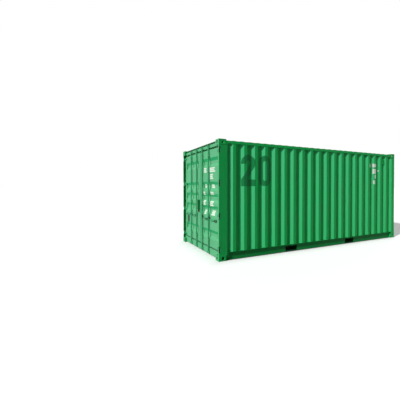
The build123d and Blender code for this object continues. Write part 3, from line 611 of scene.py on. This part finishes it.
class PaintSizes(bpy.types.PropertyGroup):
    """Colours of the coats."""

    wall: coat("Wall", "Coat on the walls, the roof, the front posts and the top rails", "#04A84E")
    # Painted sunlight: the leaves' coat is paler and whiter than the walls' coat, as if the door end stood
    # in sun.
    door: coat("Doors", "Coat on the leaves, header and sill", "#56AB78")
    # Painted sheen: the wall folds that look to the door end are paler, as if lit there.
    chalk: coat("Chalked folds", "Coat gone pale on the folds that look to the door end", "#44B87B")
    # Painted shade: the leaf folds that look down are deeper and less pale than the rest of the leaves.
    sheltered: coat("Sheltered folds", "Coat kept deep on the leaf folds that look down", "#20AA66")
    rod: coat("Lock rods", "Coat on the locking bars, handles and hinges", "#2C9E66")
    casting: coat("Castings", "Coat on the corner castings and the door posts", "#069E4A")
    # The bottom rails take a darker green than the walls' coat.
    rail: coat("Bottom rails", "Coat on the bottom rails, dark with road dirt", "#02803A")
    underframe: coat("Underframe", "Wax coat under the floor", "#0B4A28")
    grime: coat("Grime", "Dust and water runs on the paint", "#055A28")
    mark: coat("Digits", "Dark green of the two digits", "#00743A")
    white: coat("White marks", "White of the small plain bars", "#D2DED0")
    plate: coat("Plate", "Coat on the bare data plate", "#023A1A")
    box: coat("Lock box", "Coat on the lock box", "#04743A")
    # Painted shade in the hinge cut-outs, and grease with painted shade at the handle pivots and catches.
    grease: coat("Grease", "Old dark grease at the hinges and the handles", "#0A2A14")


class WeldSizes(bpy.types.PropertyGroup):
    """Sizes of the weld beads and of the lip of the seals."""

    radius: length("Bead radius", "Half the width of a weld bead", 0.003, 0.001, 0.01)
    step: length("Ripple", "Distance from one ripple of a bead to the next", 0.012, 0.004, 0.05)
    lip: length("Lip radius", "Radius of the round lip of a door seal", 0.005, 0.001, 0.01)


class FastenerSizes(bpy.types.PropertyGroup):
    """Sizes of the bolts, rivets and screws."""

    bolt: length("Bolt radius", "Radius of a bolt head on a hinge", 0.008, 0.002, 0.02)
    rivet: length("Rivet radius", "Radius of a rivet head on plates and ventilators", 0.004, 0.001, 0.01)
    screw: length("Screw radius", "Radius of a floor screw head", 0.007, 0.001, 0.02)


class LockSizes(bpy.types.PropertyGroup):
    """Sizes of the padlock."""

    width: length("Width", "Width of the padlock's body", 0.050, 0.03, 0.1)
    height: length("Height", "Height of the padlock's body", 0.055, 0.03, 0.1)


class MarkSizes(bpy.types.PropertyGroup):
    """Sizes of the digits and of the paint's lift off the sheet."""

    left: length("Left edge", "Distance of the first digit from the door end", 0.560, 0, 6)
    low: length("Foot", "Height of the foot of the digits", 1.591, 0, 3)
    height: length("Height", "Height of the digits", 0.700, 0.1, 2)
    stroke: length("Stroke", "Width of a digit's stroke", 0.125, 0.01, 0.3)
    lift: length("Lift", "How far the marks stand off the sheet", 0.0004, 0.0001, 0.002)


class StageSizes(bpy.types.PropertyGroup):
    """Camera and lamps."""

    place: bpy.props.FloatVectorProperty(
        name="Camera", description="Where the camera stands",
        default=(-5.40, -6.28, 1.58), subtype="TRANSLATION", unit="LENGTH",
    )
    azimuth: bpy.props.FloatProperty(
        name="Azimuth", description="Turn of the camera about the upright axis",
        default=math.radians(-27.09), subtype="ANGLE",
    )
    elevation: bpy.props.FloatProperty(
        name="Elevation", description="Height of the camera above its target as an angle",
        default=math.radians(0.62), subtype="ANGLE",
    )
    lens: bpy.props.FloatProperty(
        name="Lens", description="Focal length for a 36 mm sensor", default=24.01, min=5, max=200,
    )
    key: bpy.props.FloatProperty(
        name="Key", description="Strength of the key lamp", default=4.2, min=0, max=20,
    )
    back: bpy.props.FloatProperty(
        name="Back", description="Strength of the soft lamp behind", default=1.5, min=0, max=20,
    )
    fill: bpy.props.FloatProperty(
        name="Fill", description="Strength of the light from all round", default=0.13, min=0, max=5,
    )


# Material, coat, roughness, grain in mm, strength of the grain, grime runs, and masks with their tones.
# Several of these masks paint light into the colour: sheen on the wall folds, sunlit end faces, and shade
# on the leaf folds, hinges and handles.
COATS = (
    # Wall steel, with a painted sheen on the folds that look to the door end.
    ("sprayed_enamel_on_wall_steel", "wall", 0.55, 5, 0.25, 0.35, ((painted_sheen_folds, "chalk"),)),
    # Door steel: a paler coat as painted sunlight, with painted shade on the folds that look down.
    ("sprayed_enamel_on_door_steel", "door", 0.52, 5, 0.25, 0.25, ((painted_shade_folds, "sheltered"),)),
    # Lock rods, with grease and painted shade at the handle pivots.
    ("sprayed_enamel_on_lock_rods", "rod", 0.48, 4, 0.2, 0.2, ((handle_oily_dirt_and_painted_shade, "grease"),)),
    # Cast steel, its faces that look out of the door end in the pale door coat as painted sunlight.
    ("sprayed_enamel_on_cast_steel", "casting", 0.6, 7, 0.9, 0.4, ((painted_sunlight_ends, "door"),)),
    ("grimed_enamel_on_bottom_rails", "rail", 0.6, 5, 0.3, 0.4, ()),
    ("bitumen_wax_on_underframe_steel", "underframe", 0.65, 6, 0.6, 0.5, ()),
    ("painted_aluminium_plate", "plate", 0.45, 3, 0.1, 0.1, ()),
    # Door posts: painted sunlight on their end faces and painted shade beside the hinges.
    ("greased_enamel_on_door_posts", "casting", 0.55, 5, 0.25, 0.3,
     ((painted_sunlight_ends, "door"), (hinge_painted_shade, "grease"))),
    # Hinges, with painted shade on their outer side.
    ("greased_enamel_on_hinges", "rod", 0.5, 4, 0.3, 0.3, ((hinge_painted_shade, "grease"),)),
    # Handles and retainers, with grease and painted shade at pivots and catches.
    ("greased_enamel_on_handles", "rod", 0.5, 4, 0.3, 0.3, ((handle_oily_dirt_and_painted_shade, "grease"),)),
    ("sprayed_enamel_on_lock_box", "box", 0.5, 4, 0.3, 0.3, ()),
)


class CONTAINER_OT_paint_steel(bpy.types.Operator):
    """Coat every CAD piece with the paint, rubber or wood of the real one"""

    bl_idname = "container.paint_steel"
    bl_label = "Paint the steel"

    def execute(self, context):
        sizes = context.scene.container_paint
        tones = {name: tuple(getattr(sizes, name)) for name in sizes.__annotations__}
        for name, coat_name, *values, masks in COATS:
            changes = [(mask, tones[tone]) for mask, tone in masks]
            steel_paint(name, tones[coat_name], tones["grime"], *values, changes)
        gasket_rubber()
        keruing_plywood()
        stencil_paint("digit_enamel", tones["mark"], 0.6)
        stencil_paint("white_mark_enamel", tones["white"], 0.5)
        for name, node in frame["nodes"].items():
            node.data.materials.clear()
            node.data.materials.append(material_for(name))
        return {"FINISHED"}


SINK = 0.5 * MM  # how far the middle of a bead lies inside or outside the face that it runs on
SHEET_EDGE = 1.5 * MM
FRONT_EDGE = 2 * MM
REAR_RETURN = 30 * MM
FRONT_RETURN = 140 * MM


class CONTAINER_OT_weld_seams(bpy.types.Operator):
    """Run weld beads where the walls, posts, rails and castings meet"""

    bl_idname = "container.weld_seams"
    bl_label = "Weld the seams"

    def execute(self, context):
        sizes = context.scene.container_weld
        values = {"Radius": sizes.radius, "Step": sizes.step, "Swell": 0.3, "Sides": 6}
        paths = wall_seams() + front_seams() + post_seams() + roof_seams()
        swept("weld_beads", paths, values, material_for("side_wall_left"), "container")
        return {"FINISHED"}


def wall_seams():
    """Beads at the foot and head of both side walls, following the folds."""
    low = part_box("side_wall_right")[0].z
    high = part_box("side_wall_right")[1].z
    stations = [WALL_START_X, *wall_breaks(WALL_START_X, WALL_END_X), WALL_END_X]
    half = -WALL_FACE_Y + SINK
    return [
        [(x, side * (half - wall_depth(x)), z) for x in stations]
        for side in (1, -1) for z in (low + SHEET_EDGE, high - SHEET_EDGE)
    ]


def front_seams():
    """Beads down both edges of the front wall."""
    low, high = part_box("front_wall")
    face, edge = high.x + SINK, high.y - FRONT_EDGE
    return [[(face, y, low.z), (face, y, high.z)] for y in (edge, -edge)]


def post_seams():
    """Beads around the posts where they meet the castings."""
    paths = []
    for side, sign in SIDES:
        for z in (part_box("bottom_casting_rear_" + side)[1].z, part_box("top_casting_rear_" + side)[0].z):
            low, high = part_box("rear_post_" + side)
            outer, face = sign * (SKIN_Y - SINK), low.x + SINK
            end = REAR_X + CASTING_L
            paths.append([(face, outer - sign * REAR_RETURN, z), (face, outer, z), (end, outer, z)])
            low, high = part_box("front_post_" + side)
            face = high.x - SINK
            paths.append([(low.x, outer, z), (face, outer, z), (face, outer - sign * FRONT_RETURN, z)])
    return paths


def roof_seams():
    """Beads along the long edges of the roof sheet."""
    low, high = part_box("roof")
    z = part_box("top_side_rail_left")[1].z + 1 * MM
    return [[(low.x, y, z), (high.x, y, z)] for y in (high.y, -high.y)]


# Places of the bolts from an edge or a middle of what they hold, and how far out their heads sit.
BLADE_COLUMNS = (22 * MM, 72 * MM)
BLADE_ROWS = (-13 * MM, 13 * MM)
BLADE_OUT = 12 * MM
GUIDE_COLUMNS = (-16 * MM, 16 * MM)
GUIDE_ROWS = (-23 * MM, 23 * MM)
RETAINER_MIDDLE = 25 * MM
RETAINER_COLUMNS = (-13 * MM, 13 * MM)
RETAINER_DROP = 14 * MM
PLATE_OUT = 6 * MM
RIVET_EDGE = 10 * MM


class CONTAINER_OT_fit_fasteners(bpy.types.Operator):
    """Set bolt and rivet heads on the hinges, guides, retainers, plate and ventilators"""

    bl_idname = "container.fit_fasteners"
    bl_label = "Fit the fasteners"

    def execute(self, context):
        sizes = context.scene.container_fasteners
        rods = material_for("inner_bar_left")
        outward = (0.0, -math.pi / 2, 0.0)
        bolt = {"Radius": sizes.bolt, "Height": sizes.bolt * 0.8, "Corners": 6}
        rivet = {"Radius": sizes.rivet, "Height": sizes.rivet * 0.6, "Corners": 10}
        small = {"Radius": sizes.rivet * 1.3, "Height": sizes.rivet, "Corners": 6}
        for side, sign in SIDES:
            ride = (rods, "door_" + side, "door_green")
            heads("hinge_bolts_" + side, hinge_points(sign), outward, bolt, *ride)
            heads("guide_bolts_" + side, guide_points(sign), outward, small, *ride)
            heads("retainer_bolts_" + side, retainer_points(side), outward, small, *ride)
            sideways = (-sign * math.pi / 2, 0.0, 0.0)
            ride = (material_for("vents"), "container", "wall_green")
            heads("vent_rivets_" + side, vent_points(sign), sideways, rivet, *ride)
        heads("plate_rivets", plate_points(), outward, rivet, rods, "door_left", "plate")
        return {"FINISHED"}


def hinge_points(sign):
    """Four bolts on every blade of one leaf."""
    face = LEAF_FACE_X - BLADE_OUT
    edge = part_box("hinge_blades_left")[0].y
    return [
        (face, sign * (edge + across), z + rise)
        for z in HINGE_Z for across in BLADE_COLUMNS for rise in BLADE_ROWS
    ]


def guide_points(sign):
    """Four small bolts on the base of every bar guide of one leaf."""
    face = LEAF_FACE_X - PLATE_OUT
    return [
        (face, sign * (y + across), z + rise)
        for y in BAR_Y for z in GUIDE_Z for across in GUIDE_COLUMNS for rise in GUIDE_ROWS
    ]


def retainer_points(side):
    """Two small bolts above the shelf of every handle retainer of one leaf."""
    low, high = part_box("handle_retainers_" + side)
    centres = (low.y + RETAINER_MIDDLE, high.y - RETAINER_MIDDLE)
    face, z = LEAF_FACE_X - PLATE_OUT, high.z - RETAINER_DROP
    return [(face, y + across, z) for y in centres for across in RETAINER_COLUMNS]


def vent_points(sign):
    """Two rivets on the hood of one ventilator."""
    low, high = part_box("vents")
    middle = (low.x + high.x) / 2
    return [(middle, sign * high.y, z) for z in (low.z + RIVET_EDGE, high.z - RIVET_EDGE)]


def plate_points():
    """A rivet in each corner of the data plate."""
    low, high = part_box("data_plate")
    columns = (low.y + RIVET_EDGE, high.y - RIVET_EDGE)
    return [(low.x, y, z) for y in columns for z in (low.z + RIVET_EDGE, high.z - RIVET_EDGE)]


LIP_MIDDLE = 9 * MM  # from the middle of the doors to the lip beside the gap between the leaves
LIP_DEPTH = 1 * MM


class CONTAINER_OT_seal_doors(bpy.types.Operator):
    """Add the round lip of the seal around each leaf"""

    bl_idname = "container.seal_doors"
    bl_label = "Seal the doors"

    def execute(self, context):
        sizes = context.scene.container_weld
        values = {"Radius": sizes.lip, "Step": 0.05, "Swell": 0.0, "Sides": 10}
        for side, sign in SIDES:
            low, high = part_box("door_gasket_" + side)
            leaf_low, leaf_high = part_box("door_frame_" + side)
            outer = sign * (max(abs(low.y), abs(high.y)) + max(abs(leaf_low.y), abs(leaf_high.y))) / 2
            inner = sign * LIP_MIDDLE
            top = (high.z + leaf_high.z) / 2
            bottom = (low.z + leaf_low.z) / 2
            face = low.x + LIP_DEPTH
            path = [(face, inner, bottom), (face, inner, top), (face, outer, top), (face, outer, bottom)]
            swept(
                "seal_lip_" + side, [path], values, bpy.data.materials["extruded_epdm_rubber"],
                "door_" + side, cyclic=True,
            )
        return {"FINISHED"}


LOCK_THICK = 24 * MM
LOCK_ROUND = 5 * MM
LOCK_DROP = 4 * MM
BOW_INSET = 11 * MM
BOW_RISE = 30 * MM
BOW_DEPTH = 6 * MM
STAPLE_LAP = 9.5 * MM
STAPLE_RISE = 24 * MM
STAPLE_STOP = 9 * MM


class CONTAINER_OT_hang_padlock(bpy.types.Operator):
    """Hang a plain padlock under the lock box, its bow up inside on a staple"""

    bl_idname = "container.hang_padlock"
    bl_label = "Hang the padlock"

    def execute(self, context):
        sizes = context.scene.container_lock
        low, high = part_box("lock_box")
        place = Vector(((low.x + LEAF_FACE_X) / 2, low.y + sizes.width * 0.62, low.z - LOCK_DROP))
        blued_steel()
        steel = bpy.data.materials["blued_padlock_steel"]
        padlock_body("padlock_body", place, sizes, steel)
        half = sizes.width / 2 - BOW_INSET
        top, foot = place.z + BOW_RISE, place.z - BOW_DEPTH
        bow = [(place.x, place.y + y, top + z) for y, z in arc((0, 0), half, 0, 180, 12)]
        bow = [(place.x, place.y + half, foot), *bow, (place.x, place.y - half, foot)]
        values = {"Radius": 4.5 * MM, "Step": 4 * MM, "Swell": 0.0, "Sides": 12}
        swept("padlock_bow", [bow], values, steel, "door_left")
        loop = top + half - STAPLE_LAP
        head = loop + STAPLE_RISE
        root, end = LEAF_FACE_X + 1 * MM, place.x - STAPLE_STOP
        staple = [(x, place.y, z) for x, z in ((root, loop), (end, loop), (end, head), (root, head))]
        values = {"Radius": 4 * MM, "Step": 4 * MM, "Swell": 0.0, "Sides": 12}
        swept("padlock_staple", [staple], values, material_for("lock_box"), "door_left")
        return {"FINISHED"}


def blued_steel():
    """Hardened padlock steel, blued and oiled: near black with a low sheen and worn spots."""
    tree, place = new_material("blued_padlock_steel")
    worn = noise(tree, place, 120.0, 4.0)
    tint = ramp(tree, worn, [(0.45, srgb("#1C211E")), (0.75, srgb("#4A4F4A"))])
    closed(tree, {"Base Color": tint, "Roughness": 0.5, "Metallic": 0.6})


def padlock_body(name, place, sizes, material):
    """A block with rounded edges, its top at the given place."""
    block = bmesh.new()
    bmesh.ops.create_cube(block, size=1.0)
    for vert in block.verts:
        across, up = vert.co.y * sizes.width, (vert.co.z - 0.5) * sizes.height
        vert.co = Vector((vert.co.x * LOCK_THICK, across, up))
        vert.co += place
    bmesh.ops.bevel(
        block, geom=block.edges[:], offset=LOCK_ROUND, segments=3, profile=0.5, affect="EDGES",
    )
    mesh = bpy.data.meshes.new(name)
    block.to_mesh(mesh)
    block.free()
    plain_object(name, mesh, material, "door_left")


SCREWS_ALONG = (60 * MM, 18)
SCREWS_ACROSS = (80 * MM, 12)
SCREW_DEPTH = 1 * MM
SCREW_HEIGHT = 2.4 * MM


class CONTAINER_OT_screw_floor(bpy.types.Operator):
    """Set the rows of screw heads in the floor boards"""

    bl_idname = "container.screw_floor"
    bl_label = "Screw the floor"

    def execute(self, context):
        sizes = context.scene.container_fasteners
        low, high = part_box("floor_boards")
        across = spread(low.y, high.y, *SCREWS_ACROSS)
        points = [
            (x, y, high.z - SCREW_DEPTH) for x in spread(low.x, high.x, *SCREWS_ALONG) for y in across
        ]
        values = {"Radius": sizes.screw, "Height": SCREW_HEIGHT, "Corners": 10}
        ride = (material_for("inner_bar_left"), "container", "bar_green")
        heads("floor_screws", points, (0.0, 0.0, 0.0), values, *ride)
        return {"FINISHED"}


def spread(low, high, margin, count):
    """Even places between two limits, the first and last a margin inside them."""
    return [low + margin + (high - low - 2 * margin) * i / (count - 1) for i in range(count)]


TWO_WIDTH = 0.360
NOUGHT_WIDTH = 0.345
NOUGHT_START = 0.450


class CONTAINER_OT_paint_digits(bpy.types.Operator):
    """Paint the two large digits on the long side"""

    bl_idname = "container.paint_digits"
    bl_label = "Paint the digits"

    def execute(self, context):
        sizes = context.scene.container_marks
        left = REAR_X + sizes.left
        high = sizes.low + sizes.height
        quads = figure_two(left, TWO_WIDTH, sizes.low, high, sizes.stroke)
        quads += figure_nought(left + NOUGHT_START, NOUGHT_WIDTH, sizes.low, high, sizes.stroke)
        sheet = laid_on(quads, wall_breaks(left, left + 1), 0, on_wall, sizes.lift)
        digits = bpy.data.materials["digit_enamel"]
        finished_sheet("side_digits", sheet, Vector((0, -1, 0)), digits, "container")
        return {"FINISHED"}


# From and to along x on the wall, or out from the middle on the leaf; from and to in z; bars in a block.
WALL_BARS = (
    (2.012, 2.150, 2.155, 2.258), (2.012, 2.150, 1.965, 2.107), (2.078, 2.142, 1.820, 1.935),
    (2.028, 2.102, 1.658, 1.765), (1.845, 1.950, 2.148, 2.250), (2.256, 2.302, 2.037, 2.070),
)
LEAF_BARS = (
    (0.595, 0.900, 1.914, 2.018, 3), (0.615, 0.790, 1.755, 1.872, 3), (0.650, 0.820, 1.552, 1.632, 2),
    (0.640, 0.835, 1.398, 1.465, 2), (0.605, 0.810, 1.137, 1.252, 3), (0.680, 0.875, 0.930, 1.042, 3),
    (0.240, 0.415, 1.918, 2.028, 3), (0.250, 0.350, 1.555, 1.645, 2), (0.206, 0.330, 1.380, 1.462, 2),
    (0.200, 0.350, 1.140, 1.252, 3), (0.250, 0.380, 0.922, 1.028, 3),
)
WALL_BARS_SPAN = (1.8, 2.4)
LEAF_BARS_SPAN = (0.9, 2.1)
BAR_ENDS = (1.0, 0.84, 0.93)
BAR_GAP = 7 * MM


def stacked_bars(near, far, low, high, count):
    """Bars one above the other between two heights on the right leaf, uneven at their right."""
    pitch = (high - low + BAR_GAP) / count
    bars = []
    for i in range(count):
        end = near + (far - near) * BAR_ENDS[i % len(BAR_ENDS)]
        bars.append(box_quad(-end, -near, low + i * pitch, low + (i + 1) * pitch - BAR_GAP))
    return bars


class CONTAINER_OT_paint_bars(bpy.types.Operator):
    """Paint the small plain white bars on the long side and the right leaf"""

    bl_idname = "container.paint_bars"
    bl_label = "Paint the white bars"

    def execute(self, context):
        lift = context.scene.container_marks.lift
        white = bpy.data.materials["white_mark_enamel"]
        bars = [box_quad(*bar) for bar in WALL_BARS]
        sheet = laid_on(bars, wall_breaks(*WALL_BARS_SPAN), 0, on_wall, lift)
        finished_sheet("wall_bars", sheet, Vector((0, -1, 0)), white, "container")
        bars = [bar for block in LEAF_BARS for bar in stacked_bars(*block)]
        sheet = laid_on(bars, door_breaks(*LEAF_BARS_SPAN), 1, on_leaf, lift)
        finished_sheet("leaf_bars", sheet, Vector((-1, 0, 0)), white, "door_right")
        return {"FINISHED"}


# Directions of the lamps, and their spread in degrees.
KEY_FROM, KEY_SPREAD = (-1.0, -0.30, 0.72), 5
BACK_FROM, BACK_SPREAD = (1.0, 0.8, 0.5), 40
FLOOR_REACH, FLOOR_DROP = 400.0, 1 * MM
FLOOR_GLOW = 0.2
# Width over which the floor's glow fades into the painted shadow under the container.
GLOW_EDGE = 0.3
CAMERA_SHIFT = (-0.07, -0.026)


class CONTAINER_OT_set_stage(bpy.types.Operator):
    """Lay the floor and set the lamps, the background and the camera"""

    bl_idname = "container.set_stage"
    bl_label = "Set the stage"

    def execute(self, context):
        sizes = context.scene.container_stage
        pale_floor()
        soft_world(sizes.fill)
        far_lamp("key", KEY_FROM, sizes.key, KEY_SPREAD)
        far_lamp("back", BACK_FROM, sizes.back, BACK_SPREAD)
        stand_camera(sizes)
        context.scene.view_settings.view_transform = "Standard"
        return {"FINISHED"}


def shown_rays(tree):
    """One for the rays that show the background: the camera's, and reflections and glass."""
    rays = add(tree, "ShaderNodeLightPath").outputs
    seen = math_node(tree, "MAXIMUM", rays["Is Camera Ray"], rays["Is Glossy Ray"])
    return math_node(tree, "MAXIMUM", seen, rays["Is Transmission Ray"])


def outside_painted_shadow(tree, place):
    """A mask that is nothing under the container and one a short way outside it, so that the floor's glow
    stops in a painted shadow under it.
    """
    axes = axes_of(tree, place)
    past = [
        math_node(tree, "SUBTRACT", math_node(tree, "ABSOLUTE", axes[axis]), half)
        for axis, half in (("X", FRONT_X), ("Y", SKIN_Y))
    ]
    return faded(tree, math_node(tree, "MAXIMUM", *past), GLOW_EDGE, 0.0)


def pale_floor():
    """A wide floor that shows pale and keeps shadows, with a painted shadow under the container where it
    loses its glow, and throws little light back.
    """
    tree, place = new_material("matt_pale_floor")
    seen = shown_rays(tree)
    # Painted shadow: the floor loses its glow under the container.
    glow = times(tree, seen, outside_painted_shadow(tree, place))
    closed(tree, {
        "Base Color": mixed(tree, seen, srgb("#8C8C8C"), srgb("#F4F4F4")), "Roughness": 0.95,
        "Specular IOR Level": 0.0, "Emission Color": (1, 1, 1, 1),
        "Emission Strength": times(tree, glow, FLOOR_GLOW),
    })
    mesh = bpy.data.meshes.new("floor")
    corners = box_quad(-FLOOR_REACH, FLOOR_REACH, -FLOOR_REACH, FLOOR_REACH)
    mesh.from_pydata([(x, y, -FLOOR_DROP) for x, y in corners], [], [(0, 1, 2, 3)])
    mesh.materials.append(bpy.data.materials["matt_pale_floor"])
    floor = bpy.data.objects.new("floor", mesh)
    bpy.context.scene.collection.objects.link(floor)


def soft_world(strength):
    """Even light from all round, seen as plain white."""
    world = bpy.data.worlds.new("studio")
    world.use_nodes = True
    tree = world.node_tree
    tree.nodes.clear()
    soft = add(tree, "ShaderNodeBackground", {"Color": (1, 1, 1, 1), "Strength": strength})
    white = add(tree, "ShaderNodeBackground", {"Color": (1, 1, 1, 1), "Strength": 1.0})
    mix = {0: shown_rays(tree), 1: soft.outputs[0], 2: white.outputs[0]}
    both = add(tree, "ShaderNodeMixShader", mix)
    add(tree, "ShaderNodeOutputWorld", {"Surface": both.outputs[0]})
    bpy.context.scene.world = world


def far_lamp(name, towards, strength, spread):
    """A lamp far away in one direction, with soft edges to its shadows."""
    lamp = bpy.data.lights.new(name, "SUN")
    lamp.energy = strength
    lamp.angle = math.radians(spread)
    stand = bpy.data.objects.new(name, lamp)
    stand.rotation_mode = "QUATERNION"
    stand.rotation_quaternion = Vector(towards).to_track_quat("Z", "Y")
    bpy.context.scene.collection.objects.link(stand)


def stand_camera(sizes):
    """The camera at the photograph's place and angle."""
    data = bpy.data.cameras.new("camera")
    data.sensor_width = 36
    data.lens = sizes.lens
    data.shift_x, data.shift_y = CAMERA_SHIFT
    data.clip_end = 1000
    camera = bpy.data.objects.new("camera", data)
    a, e = sizes.azimuth, sizes.elevation
    back = Vector((math.sin(a) * math.cos(e), -math.cos(a) * math.cos(e), math.sin(e)))
    camera.location = sizes.place
    camera.rotation_mode = "QUATERNION"
    camera.rotation_quaternion = (-back).to_track_quat("-Z", "Y")
    bpy.context.scene.collection.objects.link(camera)
    bpy.context.scene.camera = camera


class CONTAINER_PT_sidebar(bpy.types.Panel):
    """The steps of the dressing and their sizes"""

    bl_idname = "CONTAINER_PT_sidebar"
    bl_label = "Freight container"
    bl_space_type = "VIEW_3D"
    bl_region_type = "UI"
    bl_category = "Container"

    def draw(self, context):
        for step in STEPS:
            self.layout.operator(step.bl_idname)
        for group in GROUPS:
            settings = getattr(context.scene, group)
            box = self.layout.box()
            for name in settings.__annotations__:
                box.prop(settings, name)


STEPS = (
    CONTAINER_OT_paint_steel, CONTAINER_OT_weld_seams, CONTAINER_OT_fit_fasteners,
    CONTAINER_OT_seal_doors, CONTAINER_OT_hang_padlock, CONTAINER_OT_screw_floor,
    CONTAINER_OT_paint_digits, CONTAINER_OT_paint_bars, CONTAINER_OT_set_stage,
)
GROUPS = {
    "container_paint": PaintSizes,
    "container_weld": WeldSizes,
    "container_fasteners": FastenerSizes,
    "container_lock": LockSizes,
    "container_marks": MarkSizes,
    "container_stage": StageSizes,
}


def register():
    for name, group in GROUPS.items():
        bpy.utils.register_class(group)
        setattr(bpy.types.Scene, name, bpy.props.PointerProperty(type=group))
    for step in STEPS:
        bpy.utils.register_class(step)
    bpy.utils.register_class(CONTAINER_PT_sidebar)


def unregister():
    bpy.utils.unregister_class(CONTAINER_PT_sidebar)
    for step in reversed(STEPS):
        bpy.utils.unregister_class(step)
    for name, group in reversed(GROUPS.items()):
        delattr(bpy.types.Scene, name)
        bpy.utils.unregister_class(group)


def main():
    register()
    bpy.ops.container.paint_steel()
    bpy.ops.container.weld_seams()
    bpy.ops.container.fit_fasteners()
    bpy.ops.container.seal_doors()
    bpy.ops.container.hang_padlock()
    bpy.ops.container.screw_floor()
    bpy.ops.container.paint_digits()
    bpy.ops.container.paint_bars()
    bpy.ops.container.set_stage()


if __name__ == "__main__":
    main()
